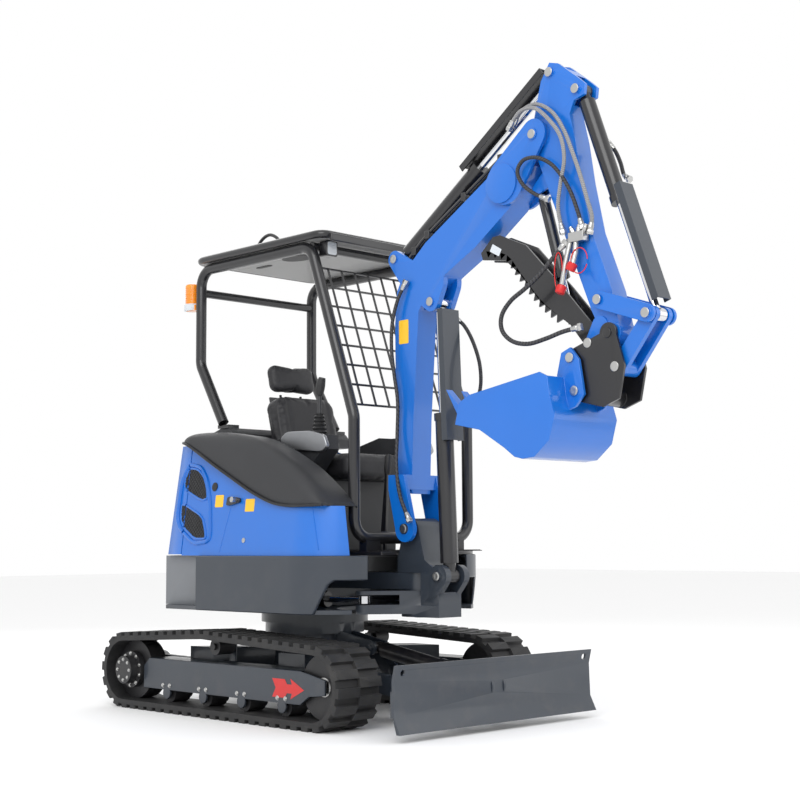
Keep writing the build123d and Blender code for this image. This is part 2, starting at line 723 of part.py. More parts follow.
with BuildPart() as headrest:
    with BuildSketch(RECLINE.offset(53)):
        with Locations((0, -HEADREST_UP)):
            RectangleRounded(310, HEADREST_H, 50)
    extrude(amount=80)
finish(headrest, "headrest")

with BuildPart() as consoles:
    for way in (-1, 1):
        with BuildSketch(side(SEAT_Y + way * 300 + 55)):
            with BuildLine():
                Polyline((-105, SEAT_Z), (200, SEAT_Z), (330, 1290), (330, 1360), (100, 1380), (-105, 1330), close=True)
            make_face()
        extrude(amount=110)
        with BuildSketch(Plane.XY.offset(1350)):
            with Locations((250, SEAT_Y + way * 300)):
                Circle(32)
        extrude(amount=110, taper=8)
        with BuildSketch(Plane.XY.offset(1455)):
            with Locations((250, SEAT_Y + way * 300)):
                Circle(11)
        extrude(amount=150)
finish(consoles, "consoles")

with BuildPart() as travel_levers:
    for way in (-1, 1):
        with BuildSketch(side(SEAT_Y + way * 70 + 8)):
            with BuildLine():
                Polyline((440, SKIRT_TOP + 16.6), (480, SKIRT_TOP + 16.6), (500, 1180), (484, 1180), close=True)
            make_face()
        extrude(amount=16)
finish(travel_levers, "travel_levers")

# Canopy: one bent tube from the rear deck over the roof, down to the front hoop and back on the other side
CANOPY_RIGHT = CANOPY_Y - CANOPY_HALF
CANOPY_LEFT = CANOPY_Y + CANOPY_HALF


def canopy_side(y):
    return [
        (REAR_FOOT[0], y, REAR_FOOT[1]), (ROOF_X0, y, REAR_BEND_Z), (ROOF_X0, y, ROOF_Z), (ROOF_X1, y, ROOF_Z),
        (HOOP_X, y, HOOP_BEND_Z), (HOOP_X, y, HOOP_Z),
    ]


with BuildPart() as canopy_frame:
    with BuildLine():
        tube_path = FilletPolyline(*canopy_side(CANOPY_RIGHT), *reversed(canopy_side(CANOPY_LEFT)), radius=TUBE_BEND)
    with BuildSketch(Plane(origin=tube_path @ 0, z_dir=tube_path % 0)):
        Circle(TUBE_R)
    sweep()
    for x, z in ((ROOF_X0, 2170), (ROOF_X1, ROOF_Z)):
        with BuildSketch(side(CANOPY_LEFT)):
            with Locations((x, z)):
                Circle(TUBE_R - 6)
        extrude(amount=2 * CANOPY_HALF)
    with BuildSketch(Plane.XY.offset(1430 + SEAT_GAP)):
        with Locations((REAR_FOOT[0], CANOPY_RIGHT + 32), (REAR_FOOT[0], CANOPY_LEFT)):
            Rectangle(90, 70)
    extrude(amount=18)
    with BuildSketch(Plane.XY.offset(SKIRT_TOP + 2 * SEAT_GAP + 16)):
        with Locations((HOOP_X, CANOPY_RIGHT + 100), (HOOP_X, CANOPY_LEFT - 100)):
            Rectangle(50, 90)
    extrude(amount=HOOP_Z - SKIRT_TOP - 16)
finish(canopy_frame, "canopy_frame")

with BuildPart() as canopy_roof:
    with BuildSketch(Plane.XY.offset(ROOF_Z + TUBE_R + SEAT_GAP)):
        with Locations(((ROOF_X0 + ROOF_X1) / 2 + 60, CANOPY_Y)):
            RectangleRounded(ROOF_X1 - ROOF_X0 + 120, 2 * CANOPY_HALF + 60, 60)
    extrude(amount=34)
finish(canopy_roof, "canopy_roof")

with BuildPart() as front_guard:
    guard_plane = Plane(
        origin=(HOOP_X, CANOPY_Y, HOOP_BEND_Z), x_dir=(0, 1, 0),
        z_dir=Vector(ROOF_Z - HOOP_BEND_Z, 0, HOOP_X - ROOF_X1).normalized(),
    )
    with BuildSketch(guard_plane):
        with Locations((0, 430)):
            with GridLocations(90, 10, 8, 1):
                Rectangle(8, 740)
            with GridLocations(10, 105, 1, 8):
                Rectangle(2 * (CANOPY_HALF - TUBE_R - SEAT_GAP), 8)
    extrude(amount=4, both=True)
finish(front_guard, "front_guard")

with BuildPart() as beacon:
    with BuildSketch(Plane.XY.offset(2110)):
        with Locations((ROOF_X0 - 80, CANOPY_RIGHT)):
            Circle(38)
    extrude(amount=110)
    with BuildSketch(Plane.XY.offset(2080)):
        with Locations((ROOF_X0 - TUBE_R - SEAT_GAP - 40, CANOPY_RIGHT)):
            Rectangle(80, 40)
    extrude(amount=30)
finish(beacon, "beacon")

with BuildPart() as work_lamp:
    with BuildSketch(Plane.YZ.offset(ROOF_X1 + TUBE_R - 6 + SEAT_GAP)):
        with Locations((CANOPY_RIGHT + 68, ROOF_Z - 12)):
            RectangleRounded(72, 76, 12)
    extrude(amount=50)
finish(work_lamp, "work_lamp")

# Swing post: two ears about the nose hub, a front wall, the boom's foot boss and the cylinder's clevis
SWING_CYL_Z = 566.0
SWING_EYE_HALF = 17.0
LUG_R = 280.0
LUG_DEG = -116.6
LUG_POINT = (SWING_X + LUG_R * cos(radians(LUG_DEG)), LUG_R * sin(radians(LUG_DEG)))
with BuildPart() as swing_post:
    with BuildSketch(Plane.XY.offset(485)):
        with Locations((SWING_X, 0)):
            Circle(92)
        with BuildLine():
            Polyline((SWING_X, -92), (SWING_X + 190, -75), (SWING_X + 190, 75), (SWING_X, 92), close=True)
        make_face()
    extrude(amount=NOSE_Z0 - SEAT_GAP - 485)
    with BuildSketch(Plane.XY.offset(NOSE_Z0 - SEAT_GAP)):
        with BuildLine():
            Polyline((SWING_X + 78, -80), (SWING_X + 190, -75), (SWING_X + 190, 75), (SWING_X + 78, 80), close=True)
        make_face()
    extrude(amount=NOSE_Z1 + SEAT_GAP - NOSE_Z0 + SEAT_GAP)
    with BuildSketch(side(76)):
        with BuildLine():
            Polyline(
                (SWING_X - 80, NOSE_Z1 + SEAT_GAP), (SWING_X + 190, NOSE_Z1 + SEAT_GAP), (SWING_X + 100, 750),
                (BOOM_FOOT[0] + 50, BOOM_FOOT[1]), (BOOM_FOOT[0] - 46, BOOM_FOOT[1]), (SWING_X - 80, 760), close=True,
            )
        make_face()
        with Locations(BOOM_FOOT):
            Circle(50)
    extrude(amount=152)
    with BuildSketch(Plane.XY.offset(480)):
        with Locations((SWING_X, 0)):
            Circle(SWING_PIN_R)
    extrude(amount=250)
    for plane in pair(CLEVIS_IN + 12, CLEVIS_IN + 46):
        with BuildSketch(plane):
            add(strap((SWING_X + 142, 640), BOOM_CYL_FOOT, 66, 52))
        extrude(amount=34)
    with BuildSketch(side(CLEVIS_IN + 12)):
        with Locations(BOOM_CYL_FOOT):
            Circle(75)
    extrude(amount=2 * (CLEVIS_IN + 12), mode=Mode.SUBTRACT)
    with BuildSketch(side(CLEVIS_IN + 60)):
        with Locations(BOOM_CYL_FOOT):
            Circle(22)
    extrude(amount=2 * (CLEVIS_IN + 60))
    with BuildSketch(side(FOOT_HALF + 8)):
        with Locations(BOOM_FOOT):
            Circle(24)
    extrude(amount=2 * (FOOT_HALF + 8))
    with BuildSketch(Plane.XY.offset(500)):
        with BuildLine():
            Polyline(
                (SWING_X - 80, -30), (LUG_POINT[0] - 40, LUG_POINT[1]), (LUG_POINT[0] + 40, LUG_POINT[1]),
                (SWING_X + 80, -40), close=True,
            )
        make_face()
        with Locations(LUG_POINT):
            Circle(40)
        with Locations((SWING_X, 0)):
            Circle(74, mode=Mode.SUBTRACT)
    extrude(amount=107)
    with BuildSketch(Plane.XY.offset(SWING_CYL_Z - SWING_EYE_HALF - SIDE_GAP)):
        with Locations((SWING_X, 0)):
            Circle(LUG_R + 300)
            Circle(104, mode=Mode.SUBTRACT)
        with Locations((SWING_X + LUG_R, 0)):
            Rectangle(2 * LUG_R, 1400, mode=Mode.SUBTRACT)
    extrude(amount=2 * (SWING_EYE_HALF + SIDE_GAP), mode=Mode.SUBTRACT)
finish(swing_post, "swing_post")

SWING_CYL_FOOT = Vector(-50, -380, SWING_CYL_Z)
swing_rod = hydraulic_cylinder(
    "swing", SWING_CYL_FOOT, Vector(LUG_POINT[0], LUG_POINT[1], SWING_CYL_Z), AXIS_Z, 14, 24, 15, 490, 430, 26,
    SWING_EYE_HALF,
)
finish(swing_rod, "swing_cylinder_rod")
with BuildPart() as swing_anchor:
    for z in (HOUSE_Z + FLOOR_T + SEAT_GAP, SWING_CYL_Z + SWING_EYE_HALF + 1):
        with BuildSketch(Plane.XY.offset(z)):
            with Locations((-60, -380)):
                Rectangle(90, 80)
        extrude(amount=22)
    with BuildSketch(Plane.XY.offset(HOUSE_Z + FLOOR_T + SEAT_GAP)):
        with Locations((-50, -380)):
            Circle(14)
        with Locations((-112, -380)):
            Rectangle(20, 80)
    extrude(amount=81)
finish(swing_anchor, "swing_anchor")

# Boom: box section gooseneck with foot plates, cylinder lugs and a fork at the tip
with BuildPart() as boom:
    with BuildSketch(side(BOOM_HALF)):
        with BuildLine():
            Polyline(
                (668, 1080), (662, 1880), (678, 2040), (725, 2125), (872, 2249), (1354, 2535), (1500, 2640),
                (1520, 2540), (1410, 2330), (1194, 2180), (1002, 2080), (869, 1990), (822, 1925), (783, 1410),
                (770, 1060), close=True,
            )
        make_face()
    extrude(amount=2 * BOOM_HALF)
    for plane in pair(FOOT_HALF - FOOT_PLATE, FOOT_HALF):
        with BuildSketch(plane):
            with BuildLine():
                Polyline((BOOM_FOOT[0] - 62, 895), (668, 1080), (668, 1150), (772, 1150), (BOOM_FOOT[0] + 62, 895), close=True)
            make_face()
            with Locations(BOOM_FOOT):
                Circle(62)
                Circle(24 + ROD_FIT, mode=Mode.SUBTRACT)
        extrude(amount=FOOT_PLATE)
    with BuildSketch(Plane.XY.offset(1080)):
        with Locations((722, 0)):
            Rectangle(100, 2 * FOOT_HALF)
    extrude(amount=70)
    for plane in pair(CLEVIS_IN, BOOM_HALF):
        with BuildSketch(plane):
            add(strap((880, 2060), BOOM_CYL_EYE, 110, 46))
        extrude(amount=BOOM_HALF - CLEVIS_IN)
    with BuildSketch(side(CLEVIS_IN)):
        with Locations(BOOM_CYL_EYE):
            Circle(80)
    extrude(amount=2 * CLEVIS_IN, mode=Mode.SUBTRACT)
    for plane in pair(CLEVIS_IN, BOOM_HALF):
        with BuildSketch(plane):
            add(strap((760, 2110), ARM_CYL_FOOT, 70, 42))
        extrude(amount=BOOM_HALF - CLEVIS_IN)
    with BuildSketch(side(CLEVIS_IN)):
        with Locations(ARM_CYL_FOOT):
            Circle(66)
    extrude(amount=2 * CLEVIS_IN, mode=Mode.SUBTRACT)
    with BuildSketch(side(BARREL_SLOT)):
        add(slot(ARM_CYL_FOOT, ARM_CYL_EYE, 48, 260, 62))
    extrude(amount=2 * BARREL_SLOT, mode=Mode.SUBTRACT)
    with BuildSketch(side(BOOM_HALF + 8)):
        with Locations(ARM_CYL_FOOT):
            Circle(20)
    extrude(amount=2 * (BOOM_HALF + 8))
    for plane in pair(CLEVIS_IN, BOOM_HALF + 8):
        with BuildSketch(plane):
            with Locations(BOOM_CYL_EYE):
                Circle(22)
        extrude(amount=BOOM_HALF + 8 - CLEVIS_IN)
    for plane in pair(ARM_BOSS_HALF + SIDE_GAP, ARM_BOSS_HALF + SIDE_GAP + TIP_PLATE):
        with BuildSketch(plane):
            add(strap((1400, 2450), BOOM_TIP, 110, 70))
        extrude(amount=TIP_PLATE)
    with BuildSketch(side(BOOM_HALF + 30)):
        with Locations((1380, 2440)):
            Circle(90)
    extrude(amount=2 * (BOOM_HALF + 30))
    with BuildSketch(side(ARM_BOSS_HALF + SIDE_GAP)):
        with Locations(BOOM_TIP):
            Circle(130)
    extrude(amount=2 * (ARM_BOSS_HALF + SIDE_GAP), mode=Mode.SUBTRACT)
    with BuildSketch(side(ARM_BOSS_HALF + SIDE_GAP + TIP_PLATE + 8)):
        with Locations(BOOM_TIP):
            Circle(26)
    extrude(amount=2 * (ARM_BOSS_HALF + SIDE_GAP + TIP_PLATE + 8))
finish(boom, "boom")

boom_rod = hydraulic_cylinder("boom", point(BOOM_CYL_FOOT), point(BOOM_CYL_EYE), AXIS_Y, 22, 34, 22, 760, 700, 34, EYE_HALF + 6)
finish(boom_rod, "boom_cylinder_rod")

# Arm: box section with the two cylinder pins at its top and the tool pin at its end.
# Its top gap is open wherever the arm cylinder's eye and rod pass as the arm swings.
ARM_EYE_R = 32.0
ARM_ROD_R = 20.0
ARM_EYE_PATH = ((1643, 2908), (1670, 2906), (1701, 2924), (1640, 2845), (1635, 2839), (1628, 2843))
ARM_ROD_PATH = ((1441, 2754), (1384, 2833), (1384, 2898), (1457, 3048), (1573, 3138))
with BuildPart() as arm:
    with BuildSketch(side(ARM_HALF)):
        with BuildLine():
            Polyline(
                (1590, 2870), (1543, 2690), (1500, 2620), (1558, 2540), (1694, 2204), (1851, 1811), (1915, 1680),
                (2000, 1720), (1960, 1890), (1858, 2155), (1809, 2382), (1780, 2564), (1750, 2690), (1775, 2745), (1832, 2760),
                (1838, 2805), (1800, 2840), (1690, 2930), (1640, 2945), close=True,
            )
        make_face()
    extrude(amount=2 * ARM_HALF)
    with BuildSketch(side(ARM_BOSS_HALF)):
        with Locations(BOOM_TIP):
            Circle(66)
        with Locations(HITCH_PIN):
            Circle(52)
        with Locations(ROCKER_PIN):
            Circle(40)
    extrude(amount=2 * ARM_BOSS_HALF)
    with BuildSketch(side(CLEVIS_IN)):
        with Locations(BUCKET_CYL_FOOT):
            Circle(70)
    extrude(amount=2 * CLEVIS_IN, mode=Mode.SUBTRACT)
    with BuildSketch(side(CLEVIS_IN)):
        with Locations(*ARM_EYE_PATH):
            Circle(ARM_EYE_R + SIDE_GAP)
        with Locations(*ARM_ROD_PATH):
            Circle(ARM_ROD_R + SIDE_GAP)
        make_hull()
    extrude(amount=2 * CLEVIS_IN, mode=Mode.SUBTRACT)
    with BuildSketch(side(ARM_HALF + 12)):
        with Locations(BUCKET_CYL_FOOT):
            Circle(20)
    extrude(amount=2 * (ARM_HALF + 12))
    for plane in pair(CLEVIS_IN, ARM_HALF + 12):
        with BuildSketch(plane):
            with Locations(ARM_CYL_EYE):
                Circle(20)
        extrude(amount=ARM_HALF + 12 - CLEVIS_IN)
    with BuildSketch(side(ARM_BOSS_HALF)):
        with Locations(BOOM_TIP):
            Circle(26 + ROD_FIT)
    extrude(amount=2 * ARM_BOSS_HALF, mode=Mode.SUBTRACT)
    with BuildSketch(side(ARM_BOSS_HALF)):
        with Locations(HITCH_PIN):
            Circle(22 + ROD_FIT)
    extrude(amount=2 * ARM_BOSS_HALF, mode=Mode.SUBTRACT)
    with BuildSketch(side(ROCKER_OUT + PLATE_CAP)):
        with Locations(ROCKER_PIN):
            Circle(18)
    extrude(amount=2 * (ROCKER_OUT + PLATE_CAP))
    for plane in pair(CLEVIS_IN - 12, CLEVIS_IN):
        with BuildSketch(plane):
            add(strap((1600, 2430), THUMB_CYL_FOOT, 40, 26))
        extrude(amount=12)
    with BuildSketch(side(CLEVIS_IN)):
        with Locations(THUMB_CYL_FOOT):
            Circle(12)
    extrude(amount=2 * CLEVIS_IN)
    for plane in pair(THUMB_OUT + 4, ARM_HALF + 10):
        with BuildSketch(plane):
            add(strap((1900, 1740), THUMB_PIN, 40, 30))
        extrude(amount=ARM_HALF + 6 - THUMB_OUT)
    with BuildSketch(side(ARM_HALF + 14)):
        with Locations(THUMB_PIN):
            Circle(14)
    extrude(amount=2 * (ARM_HALF + 14))
    with BuildSketch(side(THUMB_OUT + 4)):
        with Locations(THUMB_PIN):
            Circle(14)
            Circle(60)
            Circle(14, mode=Mode.SUBTRACT)
    extrude(amount=2 * (THUMB_OUT + 4), mode=Mode.SUBTRACT)
finish(arm, "arm")

arm_rod = hydraulic_cylinder("arm", point(ARM_CYL_FOOT), point(ARM_CYL_EYE), AXIS_Y, 20, 32, ARM_ROD_R, 640, 700, ARM_EYE_R, EYE_HALF)
finish(arm_rod, "arm_cylinder_rod")
bucket_rod = hydraulic_cylinder("bucket", point(BUCKET_CYL_FOOT), point(GUIDE_PIN), AXIS_Y, 20, 28, 18, 560, 660, 30, EYE_HALF)
finish(bucket_rod, "bucket_cylinder_rod")
thumb_rod = hydraulic_cylinder("thumb", point(THUMB_CYL_FOOT), point(THUMB_EYE), AXIS_Y, 12, 18, 11, 430, 330, 20, 16)
finish(thumb_rod, "thumb_cylinder_rod")

with BuildPart() as rocker:
    for plane in pair(ROCKER_IN, ROCKER_OUT):
        with BuildSketch(plane):
            add(strap(ROCKER_PIN, GUIDE_PIN, 38, 38))
            with Locations(ROCKER_PIN):
                Circle(18 + ROD_FIT, mode=Mode.SUBTRACT)
        extrude(amount=ROCKER_OUT - ROCKER_IN)
    for plane in pair(CLEVIS_IN + 2, ROCKER_OUT + PLATE_CAP):
        with BuildSketch(plane):
            with Locations(GUIDE_PIN):
                Circle(20)
        extrude(amount=ROCKER_OUT + PLATE_CAP - CLEVIS_IN - 2)
finish(rocker, "rocker")

with BuildPart() as bucket_link:
    for plane in pair(CLEVIS_IN, LINK_OUT):
        with BuildSketch(plane):
            add(strap(GUIDE_PIN, LINK_PIN, 34, 36))
            with Locations(GUIDE_PIN):
                Circle(20 + ROD_FIT, mode=Mode.SUBTRACT)
        extrude(amount=LINK_OUT - CLEVIS_IN)
    with BuildSketch(side(CLEVIS_IN)):
        with Locations(LINK_PIN):
            Circle(36)
    extrude(amount=2 * CLEVIS_IN)
finish(bucket_link, "bucket_link")

with BuildPart() as quick_hitch:
    for plane in pair(ROCKER_IN, ROCKER_OUT):
        with BuildSketch(plane):
            with BuildLine():
                Polyline(
                    (1930, 1706), (1735, 1640), (1735, 1590), (1760, 1430), (1925, 1390), (2010, 1420), (2040, 1555),
                    (1995, 1706), close=True,
                )
            make_face()
            with Locations(HITCH_PIN):
                Circle(44)
        extrude(amount=ROCKER_OUT - ROCKER_IN)
    with BuildSketch(side(ROCKER_IN)):
        with Locations((1900, 1440)):
            Circle(40)
    extrude(amount=2 * ROCKER_IN)
    with BuildSketch(side(ROCKER_OUT + PLATE_CAP)):
        with Locations(HITCH_PIN):
            Circle(22)
    extrude(amount=2 * (ROCKER_OUT + PLATE_CAP))
    for pin in (BUCKET_PIN_A, BUCKET_PIN_B):
        with BuildSketch(side(ROCKER_OUT)):
            with Locations(pin):
                Circle(18 + ROD_FIT)
        extrude(amount=2 * ROCKER_OUT, mode=Mode.SUBTRACT)
finish(quick_hitch, "quick_hitch")

# Bucket: rolled shell with side plates, ears for the hitch's two pins and teeth on the lip
SHELL = (
    (1228, 1452), (1200, 1353), (1347, 1322), (1492, 1235), (1549, 1194), (1594, 1183), (1661, 1189), (1744, 1256),
    (1774, 1360), (1748, 1446), (1739, 1527),
)
with BuildPart() as bucket:
    with BuildSketch(side(BUCKET_HALF)):
        with BuildLine():
            Polyline(*SHELL, (1695, 1548), (1289, 1481), close=True)
        make_face()
    extrude(amount=2 * BUCKET_HALF)
    with BuildSketch(side(BUCKET_HALF - 12)):
        with BuildLine():
            Polyline(
                (1200, 1480), (1212, 1366), (1350, 1334), (1498, 1247), (1554, 1206), (1595, 1195), (1655, 1200),
                (1734, 1262), (1762, 1360), (1736, 1440), (1728, 1620), (1250, 1620), close=True,
            )
        make_face()
    extrude(amount=2 * (BUCKET_HALF - 12), mode=Mode.SUBTRACT)
    for y in (-150, -50, 50, 150):
        with BuildSketch(side(y + 22)):
            with BuildLine():
                Polyline((1105, 1522), (1195, 1368), (1240, 1356), (1230, 1400), close=True)
            make_face()
        extrude(amount=44)
    for plane in pair(EAR_IN, EAR_OUT):
        with BuildSketch(plane):
            with BuildLine():
                Polyline((1700, 1540), (1725, 1635), (1775, 1655), (1820, 1600), (1845, 1450), (1800, 1400), (1740, 1380),
                         close=True)
            make_face()
        extrude(amount=EAR_OUT - EAR_IN)
    for pin in (BUCKET_PIN_A, BUCKET_PIN_B):
        with BuildSketch(side(EAR_OUT + 6)):
            with Locations(pin):
                Circle(18)
        extrude(amount=2 * (EAR_OUT + 6))
finish(bucket, "bucket")

with BuildPart() as thumb:
    for plane in pair(THUMB_IN, THUMB_OUT):
        with BuildSketch(plane):
            with BuildLine():
                Polyline(
                    (1880, 1690), (1843, 1760), (1681, 1942), (1484, 2148), (1330, 2216), (1288, 2214), (1215, 2150), (1226, 2116),
                    (1364, 2095), (1452, 2017), (1566, 1881), (1732, 1761), (1830, 1640), close=True,
                )
            make_face()
            with Locations(THUMB_PIN):
                Circle(14 + ROD_FIT, mode=Mode.SUBTRACT)
        extrude(amount=THUMB_OUT - THUMB_IN)
    for spot in ((1330, 2180), (1520, 2040)):
        with BuildSketch(side(THUMB_IN)):
            with Locations(spot):
                Circle(16)
        extrude(amount=2 * THUMB_IN)
    with BuildSketch(side(THUMB_OUT + 3)):
        with Locations(THUMB_EYE):
            Circle(14)
    extrude(amount=THUMB_OUT + 3 - THUMB_IN)
finish(thumb, "thumb")
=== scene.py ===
"""Mini excavator: finishes, soft goods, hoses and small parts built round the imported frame."""

from __future__ import annotations

import json
import logging
import math
from dataclasses import dataclass, field
from enum import Enum
from typing import Iterable

import bmesh
import bpy
import numpy as np
from mathutils import Matrix, Vector
from mathutils.bvhtree import BVHTree
from mathutils.geometry import delaunay_2d_cdt

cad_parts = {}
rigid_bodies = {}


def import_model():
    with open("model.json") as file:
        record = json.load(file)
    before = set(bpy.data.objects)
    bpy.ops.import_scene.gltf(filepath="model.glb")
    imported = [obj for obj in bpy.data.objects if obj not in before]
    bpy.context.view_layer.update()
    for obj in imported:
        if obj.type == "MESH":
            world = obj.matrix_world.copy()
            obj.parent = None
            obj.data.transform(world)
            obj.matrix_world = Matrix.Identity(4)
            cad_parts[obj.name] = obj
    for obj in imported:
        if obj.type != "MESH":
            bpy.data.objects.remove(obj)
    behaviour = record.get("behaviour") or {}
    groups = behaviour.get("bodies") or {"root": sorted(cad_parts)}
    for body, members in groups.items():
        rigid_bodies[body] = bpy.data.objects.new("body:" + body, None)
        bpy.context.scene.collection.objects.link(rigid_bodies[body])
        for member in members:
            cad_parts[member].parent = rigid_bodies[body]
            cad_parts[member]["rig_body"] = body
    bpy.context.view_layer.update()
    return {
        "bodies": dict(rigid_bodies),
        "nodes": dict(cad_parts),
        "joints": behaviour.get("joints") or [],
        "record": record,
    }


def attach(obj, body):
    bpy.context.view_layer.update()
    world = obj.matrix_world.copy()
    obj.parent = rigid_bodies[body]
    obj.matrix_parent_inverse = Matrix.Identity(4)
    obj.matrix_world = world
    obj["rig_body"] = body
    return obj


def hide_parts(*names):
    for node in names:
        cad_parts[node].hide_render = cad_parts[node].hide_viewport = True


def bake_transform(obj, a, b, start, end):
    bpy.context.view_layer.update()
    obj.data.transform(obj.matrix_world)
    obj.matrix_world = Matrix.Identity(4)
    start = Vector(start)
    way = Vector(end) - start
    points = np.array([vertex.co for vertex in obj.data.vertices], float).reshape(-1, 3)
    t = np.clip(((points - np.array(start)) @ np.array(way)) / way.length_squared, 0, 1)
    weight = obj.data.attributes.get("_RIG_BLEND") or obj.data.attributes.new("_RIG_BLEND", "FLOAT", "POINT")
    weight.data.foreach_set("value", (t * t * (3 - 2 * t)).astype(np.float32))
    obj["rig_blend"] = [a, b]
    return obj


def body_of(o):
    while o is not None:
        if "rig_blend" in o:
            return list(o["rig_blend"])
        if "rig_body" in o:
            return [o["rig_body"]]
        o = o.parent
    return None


LOG = logging.getLogger("excavator")
Point = tuple[float, float, float]
Colour = tuple[float, float, float]

# Pin centres of the front linkage, X and Z
BOOM_FOOT = (0.775, 0.895)
BOOM_CYLINDER_FOOT = (0.955, 0.675)
BOOM_CYLINDER_EYE = (0.905, 1.962)
ARM_CYLINDER_FOOT = (0.660, 2.200)
ARM_CYLINDER_EYE = (1.645, 2.899)
BOOM_TIP = (1.565, 2.630)
BUCKET_CYLINDER_FOOT = (1.791, 2.791)
ROCKER_PIN = (1.911, 1.846)
GUIDE_PIN = (2.158, 1.761)
LINK_PIN = (1.991, 1.555)
THUMB_PIN = (1.850, 1.668)


class Body(Enum):
    """The moving bodies that new pieces ride on."""

    ROOT = "root"
    BLADE = "blade"
    HOUSE = "house"
    BONNET = "bonnet"
    POST = "swing_post"
    BOOM = "boom"
    ARM = "arm"
    BUCKET = "bucket"
    THUMB = "thumb"
    ROCKER = "rocker"
    LINK = "bucket_link"


class Side(Enum):
    """Which side of the machine a piece lies on, as the sign of Y."""

    RIGHT = -1
    LEFT = 1


# Shader building


@dataclass
class Socket:
    """An output socket, or a number, that takes part in Python arithmetic."""

    tree: "Tree"
    link: object

    def _math(self, operation: str, *others: object) -> "Socket":
        """Adds one Math node on this value and the others."""
        return self.tree.add(
            "ShaderNodeMath", {"operation": operation}, {0: self, **dict(enumerate(others, 1))}
        )

    def __add__(self, other: object) -> "Socket":
        """Sum."""
        return self._math("ADD", other)

    def __radd__(self, other: object) -> "Socket":
        """Sum with a number on the left."""
        return self._math("ADD", other)

    def __sub__(self, other: object) -> "Socket":
        """Difference."""
        return self._math("SUBTRACT", other)

    def __rsub__(self, other: object) -> "Socket":
        """A number less this value."""
        return self.tree.add("ShaderNodeMath", {"operation": "SUBTRACT"}, {0: other, 1: self})

    def __mul__(self, other: object) -> "Socket":
        """Product."""
        return self._math("MULTIPLY", other)

    def __rmul__(self, other: object) -> "Socket":
        """Product with a number on the left."""
        return self._math("MULTIPLY", other)

    def sine(self) -> "Socket":
        """Sine of this value in radians."""
        return self._math("SINE")

    def clamp(self) -> "Socket":
        """This value kept between 0 and 1."""
        return self.tree.add("ShaderNodeClamp", {}, {"Value": self})

    def above(self, edge: float, width: float) -> "Socket":
        """A soft step: 0 under edge, 1 over edge + width."""
        return ((self - edge) * (1.0 / width)).clamp()


class Tree:
    """The node tree of one material, built from Python."""

    def __init__(self, name: str) -> None:
        """Makes an empty material with one Principled shader.

        Args:
            name: The material's name.
        """
        self.material = bpy.data.materials.new(name)
        self.material.use_nodes = True
        self.nodes = self.material.node_tree.nodes
        self.nodes.clear()
        self.output = self.nodes.new("ShaderNodeOutputMaterial")
        self.shader = self.nodes.new("ShaderNodeBsdfPrincipled")
        self.material.node_tree.links.new(self.shader.outputs[0], self.output.inputs[0])
        self.coordinates = self.nodes.new("ShaderNodeTexCoord")

    def plug(self, socket: object, value: object) -> None:
        """Links a Socket, or sets a plain value.

        Args:
            socket: The input socket.
            value: A Socket, a number or a colour.
        """
        if isinstance(value, Socket):
            self.material.node_tree.links.new(value.link, socket)
        elif isinstance(value, tuple) and len(value) == 3 and len(socket.default_value) == 4:
            socket.default_value = (*value, 1.0)
        else:
            socket.default_value = value

    def add(self, kind: str, settings: dict, inputs: dict, out: object = 0) -> Socket:
        """Adds a node.

        Args:
            kind: The node's type.
            settings: Attributes set first, or "stops" for a ramp.
            inputs: Socket name or number to value or link.
            out: Name or number of the output wanted.

        Returns:
            The output as a Socket.
        """
        node = self.nodes.new(kind)
        for key, value in settings.items():
            if key == "stops":
                for index, (place, colour) in enumerate(value):
                    ramp = node.color_ramp.elements
                    stop = ramp[index] if index < 2 else ramp.new(place)
                    stop.position = place
                    stop.color = (*colour, 1.0)
            else:
                setattr(node, key, value)
        for key, value in inputs.items():
            self.plug(node.inputs[key], value)
        return Socket(self, node.outputs[out])

    def place(self) -> Socket:
        """Object coordinates, in metres in the machine's own frame."""
        return Socket(self, self.coordinates.outputs["Object"])

    def noise(
        self, scale: float, detail: float = 3.0, where: Socket | None = None, rough: float = 0.55
    ) -> Socket:
        """Fractal noise from 0 to 1.

        Args:
            scale: Cells in a metre.
            detail: Octaves.
            where: Coordinates, or None for Object.
            rough: Weight of the finer octaves.

        Returns:
            The noise value.
        """
        spots = {"Vector": where or self.place(), "Scale": scale, "Detail": detail, "Roughness": rough}
        return self.add("ShaderNodeTexNoise", {}, spots, 0)

    def part(self, axis: int) -> Socket:
        """One component of the Object coordinates, 0 for X to 2 for Z."""
        return self.add("ShaderNodeSeparateXYZ", {}, {0: self.place()}, axis)

    def blend(self, mask: object, low: object, high: object) -> Socket:
        """Mixes two colours.

        Args:
            mask: 0 gives low and 1 gives high.
            low: A colour or a Socket.
            high: A colour or a Socket.

        Returns:
            The mixed colour.
        """
        node = self.nodes.new("ShaderNodeMix")
        node.data_type = "RGBA"
        self.plug(node.inputs[0], mask)
        self.plug(node.inputs[6], low)
        self.plug(node.inputs[7], high)
        return Socket(self, node.outputs[2])

    def bump(self, height: Socket, depth: float) -> None:
        """Feeds a height in metres to the shader's normal.

        Args:
            height: Height from 0 to 1.
            depth: Metres for a height of 1.
        """
        normal = self.add("ShaderNodeBump", {}, {"Height": height, "Distance": depth, "Strength": 1.0})
        self.plug(self.shader.inputs["Normal"], normal)

    def set(self, **values: object) -> None:
        """Sets shader inputs, with underscores for the spaces in their names."""
        for key, value in values.items():
            self.plug(self.shader.inputs[key.replace("_", " ")], value)


